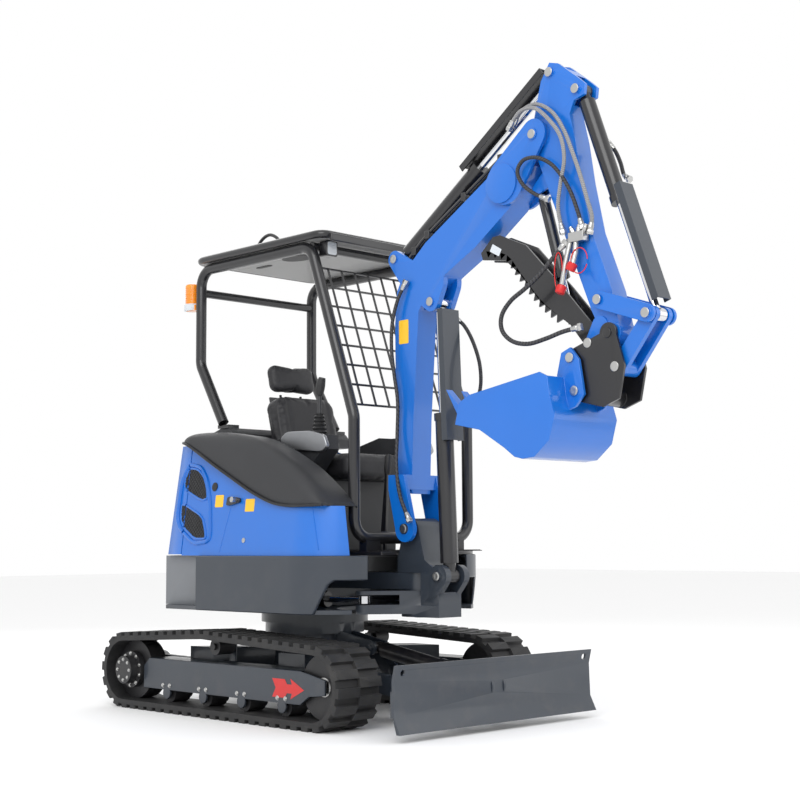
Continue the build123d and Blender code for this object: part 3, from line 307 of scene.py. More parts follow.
@dataclass(frozen=True)
class Paint:
    """Sprayed paint: orange peel, faint mottling and a little dust low on the machine."""

    name: str
    colour: Colour
    roughness: float = 0.3
    coat: float = 0.4
    peel: float = 0.00006
    dust: float = 0.12
    mottling: float = 0.08

    def build(self) -> bpy.types.Material:
        """Makes the material."""
        tree = Tree(self.name)
        broad = tree.noise(3.0, 4.0)
        fine = tree.noise(260.0, 2.0)
        low = 1.0 - tree.part(2).above(0.15, 0.9)
        grime = tree.noise(11.0, 6.0).above(0.5, 0.25)
        pale = tuple(min(1.0, c * (1.0 + self.mottling) + 0.002) for c in self.colour)
        deep = tuple(c * (1.0 - self.mottling) for c in self.colour)
        base = tree.blend(broad, deep, pale)
        mask = (low * grime * self.dust).clamp()
        tree.set(Base_Color=tree.blend(mask, base, (0.16, 0.14, 0.12)))
        tree.set(Roughness=(self.roughness + 0.08 * tree.noise(7.0, 5.0) + mask * 0.5).clamp())
        tree.set(Coat_Weight=self.coat, Coat_Roughness=0.08, Specular_IOR_Level=0.5)
        tree.bump(fine, self.peel)
        return tree.material


@dataclass(frozen=True)
class Cast:
    """Rough cast or moulded surface: rubber, iron and textured plastic."""

    name: str
    colour: Colour
    roughness: float = 0.6
    grain: float = 900.0
    depth: float = 0.0002
    worn: Colour = (0.08, 0.08, 0.085)
    wear: float = 0.25
    metallic: float = 0.0

    def build(self) -> bpy.types.Material:
        """Makes the material."""
        tree = Tree(self.name)
        cells = tree.noise(self.grain, 2.0)
        patch = tree.noise(9.0, 6.0).above(0.48, 0.3)
        tree.set(Base_Color=tree.blend((patch * self.wear).clamp(), self.colour, self.worn))
        tree.set(
            Roughness=(self.roughness + 0.15 * (cells - 0.5) + 0.1 * patch).clamp(), Metallic=self.metallic
        )
        tree.bump(cells + 0.6 * tree.noise(60.0, 3.0), self.depth)
        return tree.material


@dataclass(frozen=True)
class Bright:
    """Turned or plated metal with fine lines round its axis."""

    name: str
    colour: Colour = (0.72, 0.73, 0.75)
    roughness: float = 0.12
    scratch: float = 0.00001

    def build(self) -> bpy.types.Material:
        """Makes the material."""
        tree = Tree(self.name)
        lines = tree.noise(700.0, 2.0)
        smear = tree.noise(14.0, 4.0)
        dark = tuple(c * 0.8 for c in self.colour)
        tree.set(Base_Color=tree.blend(smear, dark, self.colour), Metallic=1.0)
        tree.set(Roughness=(self.roughness + 0.12 * smear * smear).clamp())
        tree.bump(lines, self.scratch)
        return tree.material


@dataclass(frozen=True)
class Vinyl:
    """Seat vinyl: a pebbled grain with creases."""

    name: str
    colour: Colour = (0.012, 0.012, 0.014)

    def build(self) -> bpy.types.Material:
        """Makes the material."""
        tree = Tree(self.name)
        pebble = tree.add("ShaderNodeTexVoronoi", {}, {"Vector": tree.place(), "Scale": 420.0}, "Distance")
        crease = tree.noise(22.0, 5.0)
        tree.set(Base_Color=tree.blend(crease, self.colour, tuple(c * 1.9 for c in self.colour)))
        tree.set(Roughness=(0.42 + 0.2 * pebble).clamp())
        tree.bump(pebble + 0.5 * crease, 0.0004)
        return tree.material


@dataclass(frozen=True)
class Wrapped:
    """Hose with a spiral guard: bands that turn along the hose's own UV."""

    name: str
    colour: Colour = (0.015, 0.015, 0.017)
    band: Colour = (0.045, 0.045, 0.05)
    turns: float = 60.0

    def build(self) -> bpy.types.Material:
        """Makes the material; the bands are a sine of the hose's length plus its turn."""
        tree = Tree(self.name)
        uv = Socket(tree, tree.coordinates.outputs["UV"])
        along = tree.add("ShaderNodeSeparateXYZ", {}, {0: uv}, 0)
        round_it = tree.add("ShaderNodeSeparateXYZ", {}, {0: uv}, 1)
        wave = (along * (self.turns * math.tau) + round_it * math.tau).sine()
        ridge = (wave * 0.5 + 0.5).clamp()
        tree.set(
            Base_Color=tree.blend(ridge, self.colour, self.band), Roughness=(0.35 + 0.25 * ridge).clamp()
        )
        tree.bump(ridge, 0.0018)
        return tree.material


@dataclass(frozen=True)
class Lens:
    """Coloured moulded lens with fluting."""

    name: str
    colour: Colour

    def build(self) -> bpy.types.Material:
        """Makes the material; the flutes are a sine of height."""
        tree = Tree(self.name)
        flutes = (tree.part(2) * 900.0).sine()
        tree.set(Base_Color=self.colour, Roughness=0.12, Coat_Weight=0.6, Coat_Roughness=0.04)
        tree.bump(flutes, 0.0006)
        return tree.material


FINISHES = {
    "blue": Paint("blue_paint", (0.001, 0.135, 0.56), 0.27, 0.5),
    "slate": Paint("slate_paint", (0.026, 0.034, 0.047), 0.34, 0.3),
    "black": Paint("black_paint", (0.008, 0.008, 0.010), 0.28, 0.4),
    "silver": Paint("silver_paint", (0.17, 0.18, 0.195), 0.42, 0.15),
    "roof": Paint("roof_underside", (0.33, 0.33, 0.325), 0.5, 0.1),
    "yellow": Paint("sticker_yellow", (0.85, 0.50, 0.02), 0.4, 0.2),
    "white": Paint("sticker_white", (0.62, 0.66, 0.70), 0.4, 0.2),
    "red": Paint("red_mark", (0.62, 0.012, 0.012), 0.4, 0.3),
    "cap_red": Cast("red_dust_cap", (0.60, 0.015, 0.015), 0.38, 500.0, 0.00008, (0.4, 0.03, 0.03)),
    "rubber": Cast("track_rubber", (0.016, 0.016, 0.017), 0.62, 500.0, 0.0005, (0.065, 0.062, 0.058), 0.5),
    "boot": Cast("boot_rubber", (0.012, 0.012, 0.013), 0.5, 800.0, 0.0001),
    "plastic": Cast("cover_plastic", (0.022, 0.023, 0.026), 0.48, 1500.0, 0.00022, (0.05, 0.05, 0.055)),
    "iron": Cast("black_iron", (0.018, 0.018, 0.02), 0.45, 240.0, 0.0003, (0.08, 0.075, 0.07), 0.3),
    "engine": Cast("engine_iron", (0.07, 0.07, 0.075), 0.5, 240.0, 0.0003),
    "steel": Bright("zinc_fitting", (0.56, 0.56, 0.55), 0.28, 0.00004),
    "chrome": Bright("rod_chrome", (0.78, 0.79, 0.81), 0.08),
    "casting": Bright("lever_casting", (0.42, 0.43, 0.45), 0.38, 0.0002),
    "vinyl": Vinyl("seat_vinyl"),
    "hose": Wrapped("wrapped_hose"),
    "steel_hose": Wrapped("steel_hose", (0.16, 0.16, 0.165), (0.42, 0.42, 0.43), 110.0),
    "amber": Lens("amber_lens", (0.95, 0.30, 0.015)),
    "glass": Lens("lamp_glass", (0.55, 0.58, 0.60)),
}

NODE_FINISH = {
    "blue": ("right_cover", "left_cover", "bonnet", "boom", "arm", "bucket", "rocker", "bucket_link"),
    "slate": (
        "side_skirts", "revolving_frame", "dozer_blade", "swing_post", "car_body", "slew_ring",
        "track_frame_right", "track_frame_left", "swing_anchor",
    ),
    "silver": ("counterweight",),
    "plastic": ("dome_cover", "rear_deck", "consoles", "seat_base"),
    "rubber": ("track_right", "track_left"),
    "iron": ("rollers_right", "rollers_left"),
    "engine": ("engine_block",),
    "roof": ("canopy_roof",),
    "amber": ("beacon",),
    "vinyl": ("seat_cushion", "seat_back", "headrest"),
    "chrome": (
        "blade_cylinder_rod", "boom_cylinder_rod", "arm_cylinder_rod", "bucket_cylinder_rod",
        "thumb_cylinder_rod", "swing_cylinder_rod",
    ),
}


class Wardrobe:
    """Makes each finish once and hands it out."""

    def __init__(self) -> None:
        """Starts empty."""
        self.made: dict[str, bpy.types.Material] = {}

    def get(self, key: str) -> bpy.types.Material:
        """The material of a finish.

        Args:
            key: A key of FINISHES.

        Returns:
            The material.
        """
        if key not in self.made:
            self.made[key] = FINISHES[key].build()
        return self.made[key]

    def dress_nodes(self, nodes: dict[str, bpy.types.Object]) -> None:
        """Gives every CAD node its finish; those not listed are black paint.

        Args:
            nodes: Node name to object.
        """
        finish_of = {node: key for key, names in NODE_FINISH.items() for node in names}
        for name, node in nodes.items():
            material = self.get(finish_of.get(name, "black"))
            node.data.materials.clear()
            node.data.materials.append(material)


# Surfaces as numpy arrays


@dataclass
class Shell:
    """Vertices and faces of a surface before it becomes a mesh."""

    points: np.ndarray
    faces: list[tuple[int, ...]]
    uv: np.ndarray | None = None

    def __add__(self, other: "Shell") -> "Shell":
        """Both surfaces as one."""
        shift = len(self.points)
        faces = self.faces + [tuple(i + shift for i in face) for face in other.faces]
        uv = None if self.uv is None or other.uv is None else np.vstack([self.uv, other.uv])
        return Shell(np.vstack([self.points, other.points]), faces, uv)


def joined(shells: Iterable[Shell]) -> Shell:
    """All the surfaces as one.

    Args:
        shells: The surfaces.

    Returns:
        One surface.
    """
    shells = list(shells)
    counts = np.cumsum([0] + [len(s.points) for s in shells])
    faces = [tuple(i + int(shift) for i in face) for s, shift in zip(shells, counts) for face in s.faces]
    uv = None if any(s.uv is None for s in shells) else np.vstack([s.uv for s in shells])
    return Shell(np.vstack([s.points for s in shells]), faces, uv)


def grid(points: np.ndarray, ring: bool, caps: bool = True) -> Shell:
    """Quads between neighbours of an array of rows, each row a closed ring if asked.

    Args:
        points: Array of rows by columns by 3.
        ring: Whether each row closes on itself.
        caps: Whether a closed ring gets its end faces.

    Returns:
        The surface, with UV along rows and columns.
    """
    rows, columns = points.shape[:2]
    index = np.arange(rows * columns).reshape(rows, columns)
    following = np.roll(index, -1, axis=1) if ring else index[:, 1:]
    here = index if ring else index[:, :-1]
    quads = np.stack([here[:-1], following[:-1], following[1:], here[1:]], axis=-1).reshape(-1, 4)
    faces = [tuple(int(i) for i in quad) for quad in quads]
    if ring and caps:
        faces.append(tuple(int(i) for i in index[0][::-1]))
        faces.append(tuple(int(i) for i in index[-1]))
    across, along = np.meshgrid(np.linspace(0, 1, columns), np.linspace(0, 1, rows))
    return Shell(points.reshape(-1, 3), faces, np.stack([along.ravel(), across.ravel()], axis=1))


def frames_along(path: np.ndarray) -> tuple[np.ndarray, np.ndarray]:
    """Two unit vectors square to a path, turned as little as possible from point to point.

    Args:
        path: Points of the path.

    Returns:
        The first and second vectors, one of each for every point.
    """
    tangent = np.gradient(path, axis=0)
    tangent /= np.linalg.norm(tangent, axis=1, keepdims=True)
    start = np.cross(tangent[0], (0.0, 0.0, 1.0))
    if np.linalg.norm(start) < 0.2:
        start = np.cross(tangent[0], (0.0, 1.0, 0.0))
    first = [start / np.linalg.norm(start)]
    for along in tangent[1:]:
        carried = first[-1] - along * np.dot(first[-1], along)
        first.append(carried / np.linalg.norm(carried))
    first_axis = np.array(first)
    return first_axis, np.cross(tangent, first_axis)


def tube(path: np.ndarray, radius: float | np.ndarray, sides: int = 12) -> Shell:
    """A circle carried along a path: centre + radius * (cos t * first + sin t * second).

    Args:
        path: Points of the path.
        radius: One radius, or one for each point.
        sides: Points round the circle.

    Returns:
        The closed tube.
    """
    path = np.asarray(path, dtype=float)
    first, second = frames_along(path)
    turn = np.linspace(0, math.tau, sides, endpoint=False)
    size = np.broadcast_to(np.asarray(radius, dtype=float), (len(path),))[:, None, None]
    circle = np.cos(turn)[None, :, None] * first[:, None] + np.sin(turn)[None, :, None] * second[:, None]
    return grid(path[:, None] + size * circle, ring=True)


def smooth(points: Iterable[Point], steps: int = 10) -> np.ndarray:
    """A Catmull-Rom curve through the points: the slope at each is half the span of its neighbours.

    Args:
        points: The points.
        steps: Divisions of each span.

    Returns:
        Points along the curve.
    """
    knots = np.array(list(points), dtype=float)
    padded = np.vstack([2 * knots[0] - knots[1], knots, 2 * knots[-1] - knots[-2]])
    t = np.linspace(0, 1, steps, endpoint=False)[:, None]
    spans = []
    for a, b, c, d in zip(padded, padded[1:], padded[2:], padded[3:]):
        spans.append(
            0.5 * (2 * b + (c - a) * t + (2 * a - 5 * b + 4 * c - d) * t**2 + (3 * b - a - 3 * c + d) * t**3)
        )
    return np.vstack([*spans, knots[-1:]])


def lathe(centre: Point, axis: Point, profile: Iterable[tuple[float, float]], sides: int = 24) -> Shell:
    """A profile turned about an axis: centre + h * axis + r * (cos t, sin t) square to it.

    Args:
        centre: A point on the axis.
        axis: Its direction.
        profile: Pairs of radius and height.
        sides: Points round it.

    Returns:
        The closed surface.
    """
    along = np.array(axis, dtype=float) / np.linalg.norm(axis)
    seed = np.array((0.0, 0.0, 1.0)) if abs(along[2]) < 0.9 else np.array((1.0, 0.0, 0.0))
    first = np.cross(along, seed)
    first /= np.linalg.norm(first)
    second = np.cross(along, first)
    turn = np.linspace(0, math.tau, sides, endpoint=False)
    circle = np.cos(turn)[:, None] * first + np.sin(turn)[:, None] * second
    pairs = np.array(list(profile), dtype=float)
    points = np.array(centre) + pairs[:, 1, None, None] * along + pairs[:, 0, None, None] * circle[None]
    return grid(points, ring=True)


def prism(outline: Iterable[tuple[float, float]], low: float, high: float, axis: int = 1) -> Shell:
    """An outline pushed straight along one axis.

    Args:
        outline: Points in the two other axes, in X, Y, Z order.
        low: Where it starts.
        high: Where it ends.
        axis: 0 for X, 1 for Y, 2 for Z.

    Returns:
        The closed solid.
    """
    flat = np.array(list(outline), dtype=float)
    rows = [np.insert(flat, axis, value, axis=1) for value in (low, high)]
    return grid(np.array(rows), ring=True)


def slab(low: Point, high: Point) -> Shell:
    """A box between two corners.

    Args:
        low: Its lowest corner.
        high: Its highest corner.

    Returns:
        The closed box.
    """
    corners = [(low[0], low[1]), (high[0], low[1]), (high[0], high[1]), (low[0], high[1])]
    return prism(corners, low[2], high[2], axis=2)


@dataclass
class Workshop:
    """Turns surfaces into dressed pieces that ride on a body."""

    wardrobe: Wardrobe
    count: int = 0

    def piece(
        self, name: str, shell: Shell, finish: str, body: Body | None, slot: str, bevel: float = 0.0,
        stands_for: tuple[str, ...] = (), smooth_angle: float = 40.0,
    ) -> bpy.types.Object:
        """Makes one piece.

        Args:
            name: Its name.
            shell: Its surface.
            finish: A key of FINISHES.
            body: The body that it rides on, or None if the caller bends it between two.
            slot: The record's material slot; not used.
            bevel: Width of its rounded edges, in metres.
            stands_for: CAD nodes that it replaces.
            smooth_angle: Faces that meet at less than this are shaded smooth.

        Returns:
            The object.
        """
        mesh = bpy.data.meshes.new(name)
        mesh.from_pydata(shell.points.tolist(), [], shell.faces)
        if shell.uv is not None:
            layer = mesh.uv_layers.new(name="UVMap")
            corner = np.empty(len(mesh.loops), dtype=np.int32)
            mesh.loops.foreach_get("vertex_index", corner)
            layer.data.foreach_set("uv", shell.uv[corner].ravel())
        self._outward(mesh)
        mesh.materials.append(self.wardrobe.get(finish))
        item = bpy.data.objects.new(name, mesh)
        bpy.context.scene.collection.objects.link(item)
        mesh.shade_smooth()
        mesh.set_sharp_from_angle(angle=math.radians(smooth_angle))
        if bevel > 0:
            rounding = item.modifiers.new("edges", "BEVEL")
            rounding.width = bevel
            rounding.segments = 2
            rounding.limit_method = "ANGLE"
            rounding.angle_limit = math.radians(35)
            rounding.harden_normals = False
        if body:
            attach(item, body.value)
        if stands_for:
            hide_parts(*stands_for)
        self.count += 1
        LOG.info("%s on %s: %d faces", name, body.value if body else "two bodies", len(shell.faces))
        return item

    @staticmethod
    def _outward(mesh: bpy.types.Mesh) -> None:
        """Turns every face outwards."""
        work = bmesh.new()
        work.from_mesh(mesh)
        bmesh.ops.recalc_face_normals(work, faces=work.faces)
        work.to_mesh(mesh)
        work.free()


# The photograph's camera


@dataclass(frozen=True)
class PhotoCamera:
    """The viewpoint of the photograph: a place, an aim and a lens."""

    place: Point = (5.695, -4.936, 0.829)
    azimuth: float = 45.74
    pitch: float = 5.58
    roll: float = -0.32
    lens: float = 65.88
    sensor: float = 36.0

    def build(self) -> bpy.types.Object:
        """Adds the camera and makes it the scene's own.

        Returns:
            The camera object.
        """
        data = bpy.data.cameras.new("photo_camera")
        data.lens = self.lens
        data.sensor_width = self.sensor
        camera = bpy.data.objects.new("photo_camera", data)
        bpy.context.scene.collection.objects.link(camera)
        turn = Matrix.Rotation(math.radians(self.azimuth), 4, "Z")
        tilt = Matrix.Rotation(math.radians(90.0 + self.pitch), 4, "X")
        bank = Matrix.Rotation(math.radians(self.roll), 4, "Z")
        camera.matrix_world = Matrix.Translation(self.place) @ turn @ tilt @ bank
        bpy.context.scene.camera = camera
        return camera


@dataclass(frozen=True)
class Studio:
    """Soft light from above, a key from the camera's left and a pale floor."""

    floor_half: float = 30.0
    key_size: float = 5.0
    key_power: float = 260.0
    fill_power: float = 70.0
    key_place: Point = (4.0, -5.5, 5.5)
    fill_place: Point = (6.0, 2.5, 3.5)
    rim_place: Point = (-4.5, 3.0, 4.5)
    middle: Point = (0.4, 0.0, 1.2)
    floor_colour: Colour = (0.92, 0.92, 0.92)
    floor_roughness: float = 0.9
    sky: float = 1.0

    def lamp(self, name: str, place: Point, size: float, power: float) -> bpy.types.Object:
        """Adds a square area lamp that looks at the machine's middle.

        Args:
            name: Its name.
            place: Where it stands.
            size: Length of its side.
            power: Watts.

        Returns:
            The lamp object.
        """
        data = bpy.data.lights.new(name, "AREA")
        data.energy = power
        data.size = size
        lamp = bpy.data.objects.new(name, data)
        aim = Vector(self.middle) - Vector(place)
        lamp.matrix_world = Matrix.Translation(place) @ aim.to_track_quat("-Z", "Y").to_matrix().to_4x4()
        bpy.context.scene.collection.objects.link(lamp)
        return lamp

    def build(self) -> None:
        """Adds lamps, floor and sky."""
        mesh = bpy.data.meshes.new("floor")
        half = self.floor_half
        mesh.from_pydata(
            [(-half, -half, 0), (half, -half, 0), (half, half, 0), (-half, half, 0)], [], [(0, 1, 2, 3)]
        )
        tree = Tree("floor_grey")
        tree.set(Base_Color=self.floor_colour, Roughness=self.floor_roughness)
        mesh.materials.append(tree.material)
        floor = bpy.data.objects.new("floor", mesh)
        bpy.context.scene.collection.objects.link(floor)
        lamps = [
            self.lamp("key", self.key_place, self.key_size, self.key_power),
            self.lamp("fill", self.fill_place, self.key_size, self.fill_power),
            self.lamp("rim", self.rim_place, self.key_size, self.fill_power),
        ]
        world = bpy.data.worlds.new("sky")
        world.use_nodes = True
        background = world.node_tree.nodes["Background"]
        background.inputs[0].default_value = (1.0, 1.0, 1.0, 1.0)
        background.inputs[1].default_value = self.sky
        bpy.context.scene.world = world
        bpy.context.scene.view_settings.view_transform = "Standard"


# CAD nodes that keep their form but get rounded edges

EDGE_RADII = {
    "bonnet": 0.014, "right_cover": 0.010, "left_cover": 0.010, "counterweight": 0.012, "side_skirts": 0.005,
    "rear_deck": 0.010, "consoles": 0.010, "seat_base": 0.010, "canopy_roof": 0.006,
    "boom": 0.003, "arm": 0.003, "bucket": 0.002, "dozer_blade": 0.003, "swing_post": 0.004,
    "revolving_frame": 0.003, "track_right": 0.004, "track_left": 0.004, "track_frame_right": 0.003,
    "track_frame_left": 0.003, "rocker": 0.002, "bucket_link": 0.002, "thumb": 0.002, "quick_hitch": 0.002,
    "bulkhead": 0.003, "operator_floor": 0.002, "car_body": 0.003, "travel_levers": 0.002,
}


ROUNDED_SLOTS = {
    "body_blue": ("arm", "bonnet", "boom", "bucket", "bucket_link", "left_cover", "right_cover", "rocker"),
    "canopy_black": ("bulkhead", "operator_floor", "seat_base", "travel_levers"),
    "cover_black": ("consoles", "rear_deck"),
    "hitch_black": ("quick_hitch", "thumb"),
    "roof_grey": ("canopy_roof",),
    "track_rubber": ("track_left", "track_right"),
    "weight_silver": ("counterweight",),
}


def merged_mesh(node: bpy.types.Object, name: str, flat_angle: float = 0.4) -> bpy.types.Mesh:
    """A CAD node's surface as one closed mesh with whole flat faces.

    Args:
        node: The CAD node.
        name: The new mesh's name.
        flat_angle: Degrees under which neighbouring faces count as one flat face.

    Returns:
        The mesh, in the machine's own frame.
    """
    work = bmesh.new()
    work.from_mesh(node.data)
    work.transform(node.matrix_world)
    bmesh.ops.remove_doubles(work, verts=work.verts, dist=0.00002)
    bmesh.ops.dissolve_limit(
        work, angle_limit=math.radians(flat_angle), verts=work.verts, edges=work.edges,
        use_dissolve_boundaries=False,
    )
    bmesh.ops.recalc_face_normals(work, faces=work.faces)
    mesh = bpy.data.meshes.new(name)
    work.to_mesh(mesh)
    work.free()
    return mesh


@dataclass
class RoundedPanels:
    """Pressed, cast and welded nodes with the radius that their real edges have."""

    shop: Workshop
    nodes: dict[str, bpy.types.Object]
    radii: dict[str, float] = field(default_factory=lambda: dict(EDGE_RADII))
    segments: int = 2

    def build(self) -> None:
        """Replaces each listed node by a copy with rounded edges."""
        for name, radius in self.radii.items():
            node = self.nodes[name]
            mesh = merged_mesh(node, f"{name}_rounded")
            mesh.materials.append(node.data.materials[0])
            item = bpy.data.objects.new(f"{name}_rounded", mesh)
            bpy.context.scene.collection.objects.link(item)
            mesh.shade_smooth()
            mesh.set_sharp_from_angle(angle=math.radians(50))
            rounding = item.modifiers.new("edges", "BEVEL")
            rounding.width = radius
            rounding.segments = self.segments
            rounding.limit_method = "ANGLE"
            rounding.angle_limit = math.radians(50)
            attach(item, body_of(node)[0])
            slots = (slot for slot, names in ROUNDED_SLOTS.items() if name in names)
            next(slots, "frame_grey")
            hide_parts(name)
            LOG.info("%s rounded by %.0f mm", name, radius * 1000)


# Seat


@dataclass
class SeatPads:
    """Vinyl cushion, back and headrest, filled by a cloth simulation and then sewn."""

    shop: Workshop
    nodes: dict[str, bpy.types.Object]
    voxel: float = 0.008
    pressure: float = 4.0
    frames: int = 20
    inset: float = 0.008
    swell: float = 0.014
    groove: float = 0.006
    groove_width: float = 0.012

    def body(self, name: str) -> bpy.types.Object:
        """Copies a CAD pad, drawn in by the inset, and remeshes it evenly.

        Args:
            name: The CAD node.

        Returns:
            The pad before it is filled.
        """
        mesh = merged_mesh(self.nodes[name], f"{name}_pad")
        pad = bpy.data.objects.new(f"{name}_pad", mesh)
        bpy.context.scene.collection.objects.link(pad)
        rounding = pad.modifiers.new("edges", "BEVEL")
        rounding.width = 0.035
        rounding.segments = 4
        rounding.limit_method = "ANGLE"
        remesh = pad.modifiers.new("even", "REMESH")
        remesh.mode = "VOXEL"
        remesh.voxel_size = self.voxel
        self.apply(pad)
        points = self.points(pad)
        normals = np.empty(len(points) * 3)
        pad.data.vertices.foreach_get("normal", normals)
        pad.data.vertices.foreach_set("co", (points - normals.reshape(-1, 3) * self.inset).ravel())
        return pad

    @staticmethod
    def points(pad: bpy.types.Object) -> np.ndarray:
        """The pad's vertices as rows of X, Y and Z."""
        flat = np.empty(len(pad.data.vertices) * 3)
        pad.data.vertices.foreach_get("co", flat)
        return flat.reshape(-1, 3)

    @staticmethod
    def apply(pad: bpy.types.Object) -> None:
        """Makes what the modifiers show the pad's own mesh."""
        shown = pad.evaluated_get(bpy.context.evaluated_depsgraph_get())
        mesh = bpy.data.meshes.new_from_object(shown)
        pad.modifiers.clear()
        pad.data = mesh

    def fill(self, pad: bpy.types.Object) -> None:
        """Blows the pad up with cloth pressure and caps how far a point moves.

        Args:
            pad: The pad.
        """
        before = self.points(pad)
        cloth = pad.modifiers.new("fill", "CLOTH")
        cloth.settings.use_pressure = True
        cloth.settings.uniform_pressure_force = self.pressure
        cloth.settings.effector_weights.gravity = 0.0
        cloth.settings.tension_stiffness = 20.0
        cloth.settings.compression_stiffness = 20.0
        for frame in range(1, self.frames + 1):
            bpy.context.scene.frame_set(frame)
        self.apply(pad)
        bpy.context.scene.frame_set(1)
        move = self.points(pad) - before
        size = np.linalg.norm(move, axis=1, keepdims=True)
        pad.data.vertices.foreach_set(
            "co", (before + move * np.minimum(1.0, self.swell / np.maximum(size, 1e-9))).ravel()
        )

    def sew(self, pad: bpy.types.Object, along: np.ndarray, places: tuple[float, ...]) -> None:
        """Draws channels into the pad: depth * exp(-(distance / width)^2) inwards along the normal.

        Args:
            pad: The pad.
            along: Unit vector square to the channels.
            places: Where each channel lies along it.
        """
        points = self.points(pad)
        normals = np.empty(len(points) * 3)
        pad.data.vertices.foreach_get("normal", normals)
        spot = points @ along
        depth = sum(np.exp(-(((spot - place) / self.groove_width) ** 2)) for place in places) * self.groove
        pad.data.vertices.foreach_set("co", (points - normals.reshape(-1, 3) * depth[:, None]).ravel())

    def build(self) -> None:
        """Makes the three pads."""
        plans = {
            "seat_cushion": ((1.0, 0.0, 0.0), (0.04, 0.19), 0.6),
            "seat_back": ((0.0, 1.0, 0.0), (-0.02, 0.25), 0.6),
            "headrest": ((0.0, 1.0, 0.0), (), 0.7),
        }
        for name, (axis, places, fill) in plans.items():
            pad = self.body(name)
            self.fill(pad)
            if places:
                self.sew(pad, np.array(axis), places)
            pad.data.shade_smooth()
            pad.data.materials.clear()
            pad.data.materials.append(self.shop.wardrobe.get("vinyl"))
            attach(pad, Body.HOUSE.value)
            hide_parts(name)
            LOG.info("%s: %d vertices", name, len(pad.data.vertices))


# Guard plates over the cylinder rods


@dataclass
class RodGuard:
    """A folded plate fixed to a cylinder's rod eye, which covers the rod."""

    shop: Workshop
    name: str
    body: str
    foot: tuple[float, float]
    eye: tuple[float, float]
    start: float
    stop: float
    offset: float
    half_width: float
    finish: str
    thickness: float = 0.006
    flange: float = 0.028

    def build(self) -> None:
        """Adds the plate: a channel section carried along the rod's line."""
        first, last = np.array(self.foot), np.array(self.eye)
        run = (last - first) / np.linalg.norm(last - first)
        out = np.array((-run[1], run[0])) * math.copysign(1.0, self.offset)
        gap, width, t, lip = abs(self.offset), self.half_width, self.thickness, self.flange
        section = [
            (-width, gap - lip), (-width, gap), (width, gap), (width, gap - lip),
            (width + t, gap - lip), (width + t, gap + t), (-width - t, gap + t), (-width - t, gap - lip),
        ]
        rows = []
        for distance in (self.start, self.stop):
            base = last - run * distance
            rows.append([(base[0] + out[0] * h, y, base[1] + out[1] * h) for y, h in section])
        item = self.shop.piece(
            self.name, grid(np.array(rows), ring=True), self.finish, Body.BOOM, "frame_grey", 0.001
        )
        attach(item, self.body)


# Pieces shaped onto the CAD surfaces


